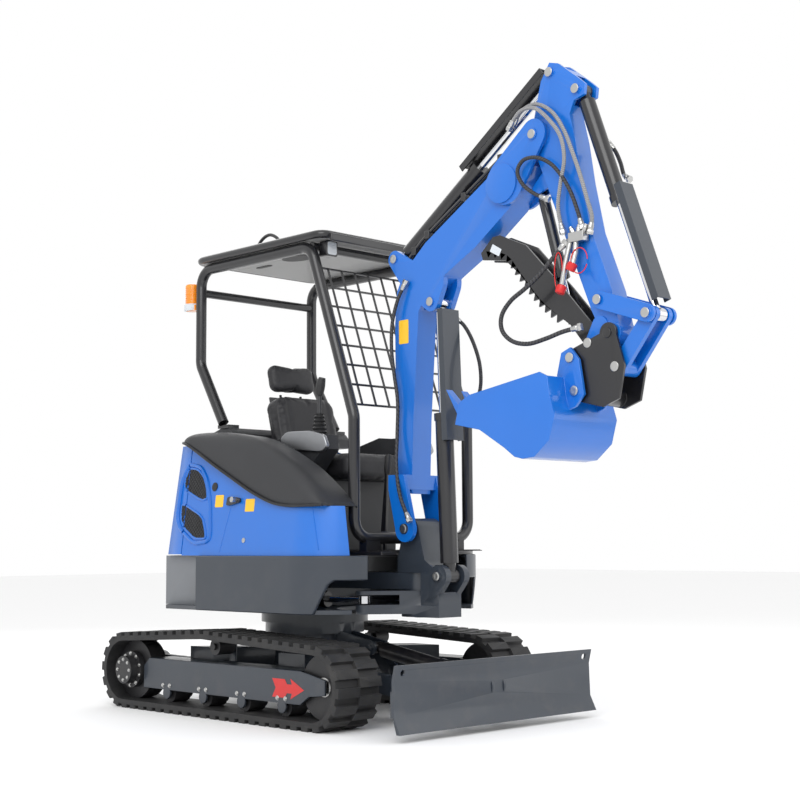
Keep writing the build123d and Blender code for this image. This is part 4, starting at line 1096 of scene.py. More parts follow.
@dataclass
class Skin:
    """The outside of some CAD nodes, which new pieces are laid on."""

    nodes: list[bpy.types.Object]
    tree: BVHTree = field(init=False)

    def __post_init__(self) -> None:
        """Builds one search tree of all the nodes' triangles."""
        points, faces, shift = [], [], 0
        for node in self.nodes:
            points.extend(node.matrix_world @ vertex.co for vertex in node.data.vertices)
            faces.extend([i + shift for i in face.vertices] for face in node.data.polygons)
            shift = len(points)
        self.tree = BVHTree.FromPolygons(points, faces)

    def drop(self, start: Point, way: Point) -> tuple[Vector, Vector] | None:
        """Where a line from start along way first meets the skin.

        Args:
            start: Where the line begins, in metres.
            way: Its direction.

        Returns:
            The point met and the outward normal, or None.
        """
        spot, normal, _, _ = self.tree.ray_cast(Vector(start), Vector(way).normalized())
        if spot is None:
            return None
        return spot, normal if normal.dot(Vector(way)) < 0 else -normal

    def patch(
        self, outline: list[Point], way: Point, rise: float, thickness: float, step: float = 0.02
    ) -> Shell:
        """A sheet that lies on the skin inside an outline.

        The outline is filled with a square lattice, each point is dropped on the skin, and the sheet
        gets its thickness along the normals.

        Args:
            outline: Points in a plane clear of the skin.
            way: Direction in which they are dropped.
            rise: How far the sheet's underside is from the skin.
            thickness: The sheet's thickness.
            step: Spacing of the lattice.

        Returns:
            The closed sheet.
        """
        ring = np.array(outline, dtype=float)
        along = np.array(way, dtype=float) / np.linalg.norm(way)
        first = ring[1] - ring[0]
        first -= along * (first @ along)
        first /= np.linalg.norm(first)
        second = np.cross(along, first)
        flat = np.stack([(ring - ring[0]) @ first, (ring - ring[0]) @ second], axis=1)
        edge = []
        for a, b in zip(flat, np.roll(flat, -1, axis=0)):
            count = max(1, int(round(np.linalg.norm(b - a) / step)))
            edge.extend(a + (b - a) * k / count for k in range(count))
        edge = np.array(edge)
        low, high = edge.min(axis=0), edge.max(axis=0)
        lattice = np.stack(
            np.meshgrid(*(np.arange(l + step / 2, h, step) for l, h in zip(low, high))), axis=-1
        )
        inside = [p for p in lattice.reshape(-1, 2) if self._within(p, edge, step * 0.4)]
        spots = [Vector(p) for p in edge] + [Vector(p) for p in inside]
        rim = [(k, (k + 1) % len(edge)) for k in range(len(edge))]
        places, _, faces, *_ = delaunay_2d_cdt(spots, rim, [list(range(len(edge)))], 1, 1e-5)
        starts = [Vector(ring[0] + first * place[0] + second * place[1]) for place in places]
        landed = self.land(starts, Vector(along))
        under = [spot + normal * rise for spot, normal in landed]
        over = [spot + normal * (rise + thickness) for spot, normal in landed]
        count = len(places)
        walls = [
            (a, b, b + count, a + count) for a, b in ((k, (k + 1) % len(edge)) for k in range(len(edge)))
        ]
        lids = [tuple(face) for face in faces] + [tuple(i + count for i in reversed(face)) for face in faces]
        return Shell(np.array([tuple(p) for p in under + over]), lids + walls)

    def land(self, starts: list[Vector], along: Vector, reach: float = 0.04) -> list[tuple[Vector, Vector]]:
        """Drops points on the skin, and carries those that fall in a seam to its nearest edge.

        Args:
            starts: The points, clear of the skin.
            along: Unit direction in which they are dropped.
            reach: Further than this from the middle depth, a point has fallen in a seam.

        Returns:
            Place and outward normal of each.
        """
        met = [self.drop(tuple(start), tuple(along)) for start in starts]
        depths = [(hit[0] - start).dot(along) for hit, start in zip(met, starts) if hit]
        middle = float(np.median(depths))
        landed = []
        for hit, start in zip(met, starts):
            if not hit or abs((hit[0] - start).dot(along) - middle) > max(
                reach, 0.6 * (max(depths) - min(depths))
            ):
                spot, normal, _, _ = self.tree.find_nearest(start + along * middle)
                facing = normal.dot(along)
                hit = (spot, -along if abs(facing) < 0.3 else normal * -math.copysign(1.0, facing))
            landed.append(hit)
        return landed

    @staticmethod
    def _within(point: np.ndarray, ring: np.ndarray, margin: float) -> bool:
        """Whether a point lies inside a ring and clear of its edge by the margin."""
        a, b = ring, np.roll(ring, -1, axis=0)
        crosses = (a[:, 1] > point[1]) != (b[:, 1] > point[1])
        with np.errstate(divide="ignore", invalid="ignore"):
            at = a[:, 0] + (point[1] - a[:, 1]) * (b[:, 0] - a[:, 0]) / (b[:, 1] - a[:, 1])
        clear = np.linalg.norm(ring - point, axis=1).min() > margin
        return bool(np.count_nonzero(crosses & (point[0] < at)) % 2) and clear

    def strip(
        self, line: Iterable[Point], way: Point, radius: float, rise: float = 0.0, sides: int = 8
    ) -> Shell:
        """A round bead that follows a line over the skin.

        Args:
            line: Points in a plane clear of the skin.
            way: Direction in which they are dropped.
            radius: The bead's radius.
            rise: How far its centre line is from the skin.
            sides: Points round the bead.

        Returns:
            The closed bead.
        """
        landed = self.land([Vector(start) for start in line], Vector(way).normalized())
        spots = [spot + normal * rise for spot, normal in landed]
        kept = [spots[0]] + [b for a, b in zip(spots, spots[1:]) if (b - a).length > 0.0005]
        return tube(np.array([tuple(p) for p in kept]), radius, sides)


def rounded_ring(
    corners: list[tuple[float, float]], share: float = 0.25, steps: int = 5
) -> list[tuple[float, float]]:
    """A closed outline with each corner cut by a quadratic curve.

    Args:
        corners: The sharp corners.
        share: Share of each side that a corner takes.
        steps: Points on each curve.

    Returns:
        The rounded outline.
    """
    points = np.array(corners, dtype=float)
    before, after = np.roll(points, 1, axis=0), np.roll(points, -1, axis=0)
    start, stop = points + (before - points) * share, points + (after - points) * share
    t = np.linspace(0.0, 1.0, steps)[:, None, None]
    curve = (1 - t) ** 2 * start + 2 * t * (1 - t) * points + t**2 * stop
    return [tuple(p) for p in curve.transpose(1, 0, 2).reshape(-1, 2)]


def bolt(centre: Point, axis: Point, radius: float = 0.009, height: float = 0.007) -> Shell:
    """A hexagon head on its washer.

    Args:
        centre: Where the washer seats.
        axis: Outwards.
        radius: Radius over the head's corners.
        height: The head's height.

    Returns:
        Washer and head as one surface.
    """
    way = np.array(axis, dtype=float) / np.linalg.norm(axis)
    seat = np.array(centre, dtype=float)
    washer = lathe(tuple(seat - way * 0.001), axis, [(radius * 1.25, 0.0), (radius * 1.25, 0.003)], 16)
    head = lathe(
        tuple(seat + way * 0.0015), axis, [(radius, 0.0), (radius, height * 0.8), (radius * 0.82, height)], 6
    )
    return joined([washer, head])


# House panels


@dataclass
class DomeCover:
    """The moulded black cover over the right rear corner, one smooth shell from seam to crown.

    A section starts at the seam, rises to the crown as a quarter of an ellipse, runs level inwards
    and turns down at its inner edge.
    """

    shop: Workshop
    seam: tuple[tuple[float, float], ...] = (
        (-0.455, 1.348), (-0.380, 1.335), (-0.283, 1.290), (-0.150, 1.222), (0.000, 1.150), (0.150, 1.080),
        (0.300, 1.026),
        (0.420, 1.008), (0.540, 1.006), (0.632, 1.008),
    )
    crown: tuple[tuple[float, float], ...] = (
        (-0.455, 1.366), (-0.379, 1.392), (-0.170, 1.386), (0.031, 1.358), (0.187, 1.306), (0.338, 1.236),
        (0.447, 1.174),
        (0.555, 1.092), (0.632, 1.014),
    )
    outer_y: float = -0.532
    crown_y: float = -0.440
    inner_y: float = -0.322
    edge: float = 0.016
    stations: int = 72
    steps: int = 14

    def build(self) -> None:
        """Adds the shell and its rubber seal, in place of the CAD node."""
        x = np.linspace(self.seam[0][0], self.seam[-1][0], self.stations)
        low = self.height(self.seam, x)
        top = np.maximum(self.height(self.crown, x), low + 0.004)
        turn = np.linspace(0.0, math.pi / 2, self.steps)
        y = np.concatenate([
            self.outer_y + (self.crown_y - self.outer_y) * (1 - np.cos(turn)),
            np.linspace(self.crown_y, self.inner_y, 6)[1:],
            self.inner_y + self.edge * np.sin(turn[1:]),
            [self.inner_y + self.edge, self.outer_y + 0.004],
        ])
        rise = top - low
        z = np.concatenate([
            low[:, None] + rise[:, None] * np.sin(turn) ** 0.8,
            np.repeat(top[:, None], 5, axis=1) - np.linspace(0, 0.006, 5),
            top[:, None] - 0.006 - self.edge * (1 - np.cos(turn[1:])),
            (low - 0.006)[:, None], (low - 0.006)[:, None],
        ], axis=1)
        front = np.clip((x - 0.45) / 0.18, 0, 1)
        rear = np.clip((-0.36 - x) / 0.1, 0, 1)
        narrow = 1.0 - 0.06 * front**2 - 0.08 * rear**2
        rows = np.stack([np.repeat(x[:, None], len(y), axis=1), np.outer(narrow, y), z], axis=-1)
        self.shop.piece(
            "dome_shell", grid(rows, ring=True), "plastic", Body.HOUSE, "cover_black", 0.0, ("dome_cover",),
            50.0,
        )
        line = np.stack([x, narrow * (self.outer_y - 0.004), low - 0.002], axis=1)
        self.shop.piece("dome_seal", tube(line, 0.007, 8), "boot", Body.HOUSE, "cover_black")

    @staticmethod
    def height(points: tuple[tuple[float, float], ...], x: np.ndarray) -> np.ndarray:
        """Heights along a smooth curve through the points.

        Args:
            points: Pairs of X and Z.
            x: Where the heights are wanted.

        Returns:
            One height for each.
        """
        curve = smooth([(px, 0.0, pz) for px, pz in points], 12)
        return np.interp(x, curve[:, 0], curve[:, 2])


@dataclass
class CoverDetails:
    """Vents, latch, stickers and seams of the blue covers."""

    shop: Workshop
    nodes: dict[str, bpy.types.Object]
    clear_y: float = 0.9
    seam_x: float = -0.3955
    seam_gap: float = 0.004
    vent_pitch: float = 0.016
    wire: float = 0.0018
    rim: float = 0.011
    upper_vent: tuple[tuple[float, float], ...] = (
        (-0.402, 1.215), (-0.325, 1.205), (-0.270, 1.165), (-0.238, 1.110), (-0.222, 1.055), (-0.270, 1.046),
        (-0.420, 1.105), (-0.430, 1.150),
    )
    lower_vent: tuple[tuple[float, float], ...] = (
        (-0.436, 1.040), (-0.250, 0.968), (-0.212, 0.890), (-0.205, 0.855), (-0.295, 0.855), (-0.400, 0.915),
        (-0.430, 0.960),
    )
    frame_line: tuple[tuple[float, float], ...] = (
        (-0.402, 1.235), (-0.300, 1.215), (-0.240, 1.150), (-0.200, 1.035), (-0.165, 0.845), (-0.295, 0.830),
        (-0.425, 0.905), (-0.462, 0.960), (-0.455, 1.150),
    )
    stickers: tuple[tuple[float, float, float, float], ...] = (
        (-0.157, 1.010, -0.092, 1.070), (0.086, 0.984, 0.156, 1.045),
    )

    def build(self) -> None:
        """Adds every piece to both sides where the real machine has it."""
        skin = Skin([self.nodes["right_cover"], self.nodes["bonnet"], self.nodes["rear_deck"]])
        way = (0.0, 1.0, 0.0)

        def flat(points: Iterable[tuple[float, float]]) -> list[Point]:
            """Points of an outline in the plane beside the machine."""
            return [(x, -self.clear_y, z) for x, z in points]

        for side, body, tag in ((1.0, Body.HOUSE, ""), (-1.0, Body.BONNET, "_door")):
            edge = self.seam_x + side * self.seam_gap
            vent_shade_sheets, wires, rims = [], [], []
            for corners in (self.upper_vent, self.lower_vent):
                ring = self.clipped(rounded_ring(list(corners), 0.3), edge, side)
                # The black sheet in each vent outline is painted shade for the dark space behind the wires.
                vent_shade_sheets.append(skin.patch(flat(ring), way, 0.0008, 0.0012))
                wires.extend(self.mesh_wires(skin, np.array(ring)))
            for corners, size in ((self.upper_vent, 0.6), (self.lower_vent, 0.6), (self.frame_line, 1.0)):
                ring = rounded_ring(list(corners), 0.3, 7)
                line = self.side_run(self.dense(ring + ring[:1], 0.004)[:-1], edge, side)
                rims.append(skin.strip(flat(line[::3] + line[-1:]), way, self.rim * size, 0.0))
            # Piece of painted shade: the black sheets that stand in for the dark behind the vent wires.
            self.shop.piece(f"painted_vent_shade{tag}", joined(vent_shade_sheets), "boot", body, "cover_black")
            self.shop.piece(f"vent_mesh{tag}", joined(wires), "plastic", body, "cover_black")
            self.shop.piece(f"vent_frames{tag}", joined(rims), "blue", body, "body_blue")
        labels = []
        for x0, z0, x1, z1 in self.stickers:
            ring = rounded_ring([(x0, z0), (x1, z0), (x1, z1), (x0, z1)], 0.08, 4)
            labels.append(skin.patch(flat(ring), way, 0.0003, 0.0005))
        self.shop.piece("cover_stickers", joined(labels), "yellow", Body.HOUSE, "body_blue")
        self.latch(skin)
        self.seams(skin)

    @staticmethod
    def clipped(ring: list[tuple[float, float]], edge: float, side: float) -> list[tuple[float, float]]:
        """The part of an outline on one side of an upright line.

        Args:
            ring: The outline's corners, X and Z.
            edge: The line's X.
            side: 1.0 keeps what is ahead of it, -1.0 what is behind.

        Returns:
            The corners of that part.
        """
        kept = []
        for a, b in zip(ring, ring[1:] + ring[:1]):
            inside = (a[0] - edge) * side >= 0
            if inside:
                kept.append(a)
            if inside != ((b[0] - edge) * side >= 0):
                kept.append((edge, a[1] + (edge - a[0]) / (b[0] - a[0]) * (b[1] - a[1])))
        return kept

    @staticmethod
    def side_run(ring: list[tuple[float, float]], edge: float, side: float) -> list[tuple[float, float]]:
        """The unbroken run of a closed line's points on one side of an upright line.

        Args:
            ring: The closed line's points, X and Z.
            edge: The upright line's X.
            side: 1.0 keeps what is ahead of it, -1.0 what is behind.

        Returns:
            The run from one crossing to the other.
        """
        kept = [(x - edge) * side > 0 for x, _ in ring]
        start = next(i for i in range(len(ring)) if kept[i] and not kept[i - 1])
        turned = ring[start:] + ring[:start]
        return [spot for spot in turned if (spot[0] - edge) * side > 0]

    @staticmethod
    def dense(points: list[tuple[float, float]], step: float = 0.012) -> list[tuple[float, float]]:
        """A line with points added so that none are further apart than step."""
        rows = np.array(points)
        out = [tuple(rows[0])]
        for a, b in zip(rows, rows[1:]):
            count = max(1, int(np.ceil(np.linalg.norm(b - a) / step)))
            out.extend(tuple(a + (b - a) * k / count) for k in range(1, count + 1))
        return out

    def mesh_wires(self, skin: Skin, ring: np.ndarray) -> list[Shell]:
        """Crossed diagonal wires cut off at the vent's outline.

        Args:
            skin: The cover's outside.
            ring: The vent's outline.

        Returns:
            One surface for each wire.
        """
        found = []
        for slope in (1.0, -1.0):
            level = ring[:, 1] - slope * ring[:, 0]
            for offset in np.arange(level.min() + self.vent_pitch, level.max(), self.vent_pitch * 1.4):
                cuts = []
                for a, b in zip(ring, np.roll(ring, -1, axis=0)):
                    fa, fb = a[1] - slope * a[0] - offset, b[1] - slope * b[0] - offset
                    if fa * fb < 0:
                        cuts.append(a + (b - a) * fa / (fa - fb))
                if len(cuts) == 2 and np.linalg.norm(cuts[1] - cuts[0]) > 0.02:
                    line = self.dense([tuple(c) for c in cuts], 0.03)
                    found.append(
                        skin.strip([(x, -self.clear_y, z) for x, z in line], (0, 1, 0), self.wire, 0.003, 5)
                    )
        return found

    def latch(self, skin: Skin) -> None:
        """Adds the bonnet latch, its pivot hole and the lower lock."""
        body = skin.patch(
            [
                (x, -self.clear_y, z) for x,
                z in rounded_ring([(-0.055, 1.012), (0.050, 1.028), (0.048, 1.052), (-0.05, 1.060)])
            ],
            (0, 1, 0), 0.0, 0.012,
        )
        self.shop.piece("latch_plate", body, "black", Body.HOUSE, "cover_black", 0.002)
        spots = {"cable_hole": (-0.172, 1.112, 0.022, "boot"), "lock": (0.100, 0.846, 0.012, "steel")}
        for name, (x, z, radius, finish) in spots.items():
            spot, normal = skin.drop((x, -self.clear_y, z), (0, 1, 0))
            profile = [(radius, -0.004), (radius, 0.003), (radius * 0.85, 0.004), (radius * 0.3, 0.003)]
            self.shop.piece(
                name, lathe(tuple(spot), tuple(normal), profile), finish, Body.HOUSE, "cover_black"
            )
        spot, normal = skin.drop((0.02, -self.clear_y, 1.04), (0, 1, 0))
        grip = lathe(
            tuple(spot), tuple(normal), [(0.011, 0.0), (0.011, 0.028), (0.014, 0.030), (0.014, 0.038)], 20
        )
        self.shop.piece("latch_pin", grip, "steel", Body.HOUSE, "cover_black")

    def seams(self, skin: Skin) -> None:
        """Adds the pressed crease lines of the cover."""
        creases = (((-0.030, 1.005), (-0.085, 0.790)), ((0.560, 0.990), (0.605, 0.800)))
        beads = [
            skin.strip(
                [(x, -self.clear_y, z) for x, z in self.dense(list(line))], (0, 1, 0), 0.004, -0.001, 6
            )
            for line in creases
        ]
        self.shop.piece("cover_creases", joined(beads), "blue", Body.HOUSE, "body_blue")


# Hydraulic hoses


@dataclass(frozen=True)
class Hose:
    """One hose: a smooth line through its points, with a crimped fitting at each end."""

    name: str
    points: tuple[Point, ...]
    finish: str
    body: Body
    other: Body | None = None
    radius: float = 0.009

    def build(self, shop: Workshop) -> None:
        """Adds the hose and its two fittings, which bend with both bodies if there are two.

        Args:
            shop: The workshop.
        """
        line = smooth(self.points, 12)
        parts = {self.name: (tube(line, self.radius, 10), self.finish)}
        ends = [self.fitting(line[0], line[3]), self.fitting(line[-1], line[-4])]
        parts[f"{self.name}_fittings"] = (joined(ends), "steel")
        for name, (shell, finish) in parts.items():
            item = shop.piece(name, shell, finish, None if self.other else self.body, "track_rubber")
            if self.other:
                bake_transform(item, self.body.value, self.other.value, self.points[0], self.points[-1])

    def fitting(self, end: np.ndarray, inner: np.ndarray) -> Shell:
        """A crimped sleeve and hexagon nut over a hose end.

        Args:
            end: The hose's end.
            inner: A point a little way into it.

        Returns:
            Sleeve and nut as one surface.
        """
        way = (inner - end) / np.linalg.norm(inner - end)
        r = self.radius
        sleeve = [
            (r * 1.3, 0.012), (r * 1.45, 0.014), (r * 1.45, 0.03), (r * 1.3, 0.032), (r * 1.3, 0.04),
            (r * 1.1, 0.045)
        ]
        nut = lathe(
            tuple(end - way * 0.006), tuple(way),
            [(r * 1.7, 0.0), (r * 1.8, 0.003), (r * 1.8, 0.016), (r * 1.6, 0.019)], 6
        )
        return joined([lathe(tuple(end), tuple(way), sleeve, 12), nut])


HOSES = (
    Hose(
        "tip_hose_near",
        (
            (1.430, -0.085, 2.680), (1.462, -0.092, 2.712), (1.520, -0.100, 2.745), (1.600, -0.104, 2.735),
            (1.680, -0.104, 2.665), (1.738, -0.100, 2.580), (1.752, -0.094, 2.480), (1.725, -0.088, 2.380),
            (1.706, -0.084, 2.270), (1.728, -0.080, 2.160),
        ),
        "steel_hose", Body.BOOM, Body.ARM,
    ),
    Hose(
        "tip_hose_far",
        (
            (1.440, -0.070, 2.690), (1.500, -0.080, 2.748), (1.590, -0.084, 2.760), (1.680, -0.084, 2.705),
            (1.745, -0.084, 2.610), (1.790, -0.082, 2.500), (1.826, -0.080, 2.400), (1.858, -0.076, 2.290),
            (1.882, -0.074, 2.205), (1.866, -0.072, 2.140),
        ),
        "steel_hose", Body.BOOM, Body.ARM,
    ),
    Hose(
        "thumb_hose",
        (
            (1.640, -0.070, 2.325), (1.575, -0.084, 2.358), (1.520, -0.100, 2.408), (1.498, -0.110, 2.468),
            (1.535, -0.112, 2.512), (1.605, -0.106, 2.512), (1.676, -0.098, 2.474), (1.730, -0.090, 2.412),
            (1.774, -0.084, 2.336), (1.806, -0.078, 2.250), (1.830, -0.074, 2.165),
        ),
        "hose", Body.ARM,
    ),
    Hose(
        "hitch_hose",
        (
            (1.748, -0.085, 2.115), (1.700, -0.105, 2.060), (1.630, -0.125, 1.985), (1.555, -0.138, 1.930),
            (1.480, -0.146, 1.885), (1.430, -0.150, 1.825), (1.432, -0.150, 1.758), (1.490, -0.148, 1.705),
            (1.575, -0.142, 1.686), (1.665, -0.132, 1.700), (1.750, -0.120, 1.722), (1.835, -0.104, 1.735),
        ),
        "hose", Body.ARM, Body.BUCKET, 0.010,
    ),
    Hose(
        "bucket_cylinder_hose",
        (
            (1.862, 0.070, 2.560), (1.895, 0.078, 2.520), (1.925, 0.076, 2.460), (1.950, 0.066, 2.400),
            (1.985, 0.058, 2.372),
        ),
        "hose", Body.ARM,
    ),
    Hose(
        "boom_front_hose",
        (
            (0.760, -0.082, 2.075), (0.712, -0.092, 1.990), (0.678, -0.096, 1.880), (0.672, -0.096, 1.760),
            (0.684, -0.092, 1.640), (0.704, -0.088, 1.500), (0.700, -0.088, 1.350), (0.716, -0.110, 1.190),
            (0.770, -0.140, 1.050), (0.842, -0.150, 0.930),
        ),
        "hose", Body.BOOM,
    ),
    Hose(
        "boom_lift_hose",
        (
            (0.930, 0.072, 1.900), (0.985, 0.085, 1.850), (1.040, 0.088, 1.760), (1.078, 0.088, 1.650),
            (1.080, 0.084, 1.540), (1.035, 0.076, 1.450),
        ),
        "hose", Body.BOOM,
    ),
)


@dataclass
class HoseSet:
    """All hoses with the steel pipes and blocks that they join."""

    shop: Workshop
    pipe: float = 0.008
    back: float = 0.020

    def pipes(self) -> None:
        """Adds the two steel pipes that run up the boom's back, and their clamps."""
        route = (
            (0.700, 2.120), (0.790, 2.205), (0.880, 2.272), (1.120, 2.415), (1.350, 2.552), (1.430, 2.610)
        )
        lines = []
        for y in (-0.050, -0.026, 0.026, 0.050):
            lines.append(tube(smooth([(x, y, z + self.back) for x, z in route], 8), self.pipe, 8))
        self.shop.piece("boom_pipes", joined(lines), "black", Body.BOOM, "track_rubber")
        clamps = [slab((x - 0.015, -0.062, z - 0.004), (x + 0.015, 0.062, z + 0.034)) for x, z in route[1:-1]]
        self.shop.piece("pipe_clamps", joined(clamps), "black", Body.BOOM, "frame_grey", 0.002)

    def blocks(self) -> None:
        """Adds the valve block on the arm, the boom's bulkhead fittings and the two dust caps."""
        block = slab((1.770, -0.100, 2.108), (1.850, -0.056, 2.150))
        stubs = [
            lathe(spot, way, [(0.013, 0.0), (0.013, 0.022), (0.010, 0.024), (0.010, 0.034)], 6)
            for spot, way in (
                ((1.785, -0.078, 2.149), (-0.6, 0.0, 1.0)), ((1.812, -0.078, 2.149), (0.1, 0.0, 1.0)),
                ((1.840, -0.078, 2.149), (0.5, 0.0, 1.0)), ((1.800, -0.078, 2.110), (-0.2, -0.2, -1.0)),
                ((1.771, -0.078, 2.125), (-1.0, 0.0, -0.4)),
            )
        ]
        self.shop.piece("valve_block", joined([block, *stubs]), "steel", Body.ARM, "rod_chrome", 0.002)
        profile = [(0.018, 0.0), (0.022, 0.004), (0.022, 0.030), (0.019, 0.036), (0.006, 0.037)]
        caps = [
            lathe((1.798, -0.100, 2.015), (-0.45, -0.2, -0.9), profile, 20),
            lathe((1.735, -0.100, 1.925), (-0.2, -0.3, -0.9), profile, 20),
        ]
        self.shop.piece("dust_caps", joined(caps), "cap_red", Body.ARM, "beacon_amber")
        couplers = [
            tube(np.array(line), 0.013, 12)
            for line in (
                ((1.800, -0.082, 2.110), (1.806, -0.094, 2.060), (1.796, -0.101, 2.010)),
                ((1.770, -0.082, 2.118), (1.752, -0.096, 2.020), (1.733, -0.101, 1.920)),
            )
        ]
        self.shop.piece("couplers", joined(couplers), "steel", Body.ARM, "rod_chrome")
        loops = []
        for cx, cz, across, down in ((1.835, 2.020, 0.045, 0.055), (1.722, 1.985, 0.022, 0.085)):
            turn = np.linspace(0, math.tau, 33)
            line = np.stack(
                [cx + across * np.cos(turn), np.full(33, -0.108), cz + down * np.sin(turn)], axis=1
            )
            loops.append(tube(line[:-2], 0.0025, 6))
        self.shop.piece("cap_tethers", joined(loops), "cap_red", Body.ARM, "beacon_amber")

    def build(self) -> None:
        """Adds pipes, blocks and hoses."""
        self.pipes()
        self.blocks()
        for hose in HOSES:
            hose.build(self.shop)


# Pins and bolts


@dataclass
class Fasteners:
    """Pin heads and bolt patterns."""

    shop: Workshop
    nodes: dict[str, bpy.types.Object]
    clear: float = 1.2
    head: float = 0.021
    hub_x: float = -0.755
    idler_x: float = 0.715
    idler_y: float = 0.5
    idler_cap: tuple[tuple[float, float], ...] = ((0.05, 0.0), (0.05, 0.062), (0.04, 0.068))
    wheel_z: float = 0.190
    hub_rings: tuple[tuple[int, float, float, float, float, float], ...] = (
        (8, 0.0, 0.052, 0.6445, 0.007, 0.005), (10, 0.5, 0.081, 0.5995, 0.008, 0.006),
    )
    rollers: tuple[float, ...] = (-0.45, -0.15, 0.15, 0.45)
    roller_y: float = 0.5915
    roller_z: float = 0.126
    roller_gap: float = 0.028
    pins: tuple[tuple[Body, tuple[float, float], tuple[str, ...]], ...] = (
        (Body.ARM, ARM_CYLINDER_EYE, ("arm",)), (Body.ARM, BUCKET_CYLINDER_FOOT, ("arm",)),
        (Body.BOOM, BOOM_TIP, ("boom",)),
        (Body.BOOM, BOOM_CYLINDER_EYE, ("boom",)), (Body.BOOM, ARM_CYLINDER_FOOT, ("boom",)),
        (Body.ARM, ROCKER_PIN, ("arm",)),
        (Body.LINK, LINK_PIN, ("bucket_link", "quick_hitch")),
        (Body.ROCKER, GUIDE_PIN, ("rocker",)),
        (Body.BUCKET, (1.775, 1.610), ("bucket",)), (Body.BUCKET, (1.797, 1.466), ("bucket",)),
        (Body.POST, BOOM_FOOT, ("swing_post",)), (Body.POST, BOOM_CYLINDER_FOOT, ("swing_post",)),
        (Body.THUMB, THUMB_PIN, ("thumb", "quick_hitch")),
    )

    def pin_heads(self) -> None:
        """Adds a zinc disc at both ends of every pin that reaches a surface."""
        found: dict[Body, list[Shell]] = {}
        for body, (x, z), names in self.pins:
            skin = Skin([self.nodes[name] for name in names])
            for side in Side:
                met = skin.drop((x, side.value * self.clear, z), (0, -side.value, 0))
                if met:
                    r = self.head
                    profile = [(r, -0.001), (r, 0.003), (r * 0.86, 0.0045), (r * 0.5, 0.0035)]
                    found.setdefault(body, []).append(lathe(tuple(met[0]), (0, side.value, 0), profile, 24))
        for body, shells in found.items():
            self.shop.piece(f"pin_heads_{body.value}", joined(shells), "steel", body, "rod_chrome")

    def undercarriage(self) -> None:
        """Adds the bolt rings of hubs and idlers, and the roller bolts of both frames."""
        shells = []
        for side in Side:
            way = (0.0, float(side.value), 0.0)
            for count, phase, ring, out, size, height in self.hub_rings:
                for index in range(count):
                    turn = math.tau * (index + phase) / count
                    x, z = self.hub_x + ring * math.cos(turn), self.wheel_z + ring * math.sin(turn)
                    shells.append(bolt((x, side.value * out, z), way, size, height))
            for x in self.rollers:
                shells.extend(
                    bolt((x + dx, side.value * self.roller_y, self.roller_z), way, 0.009, 0.006)
                    for dx in (-self.roller_gap, self.roller_gap)
                )
            shells.append(lathe(
                (self.idler_x, side.value * self.idler_y, self.wheel_z), way, self.idler_cap, 24
            ))
        self.shop.piece("undercarriage_bolts", joined(shells), "steel", Body.ROOT, "frame_grey")

    def build(self) -> None:
        """Adds pins, then bolts."""
        self.pin_heads()
        self.undercarriage()


# Operator's place and canopy


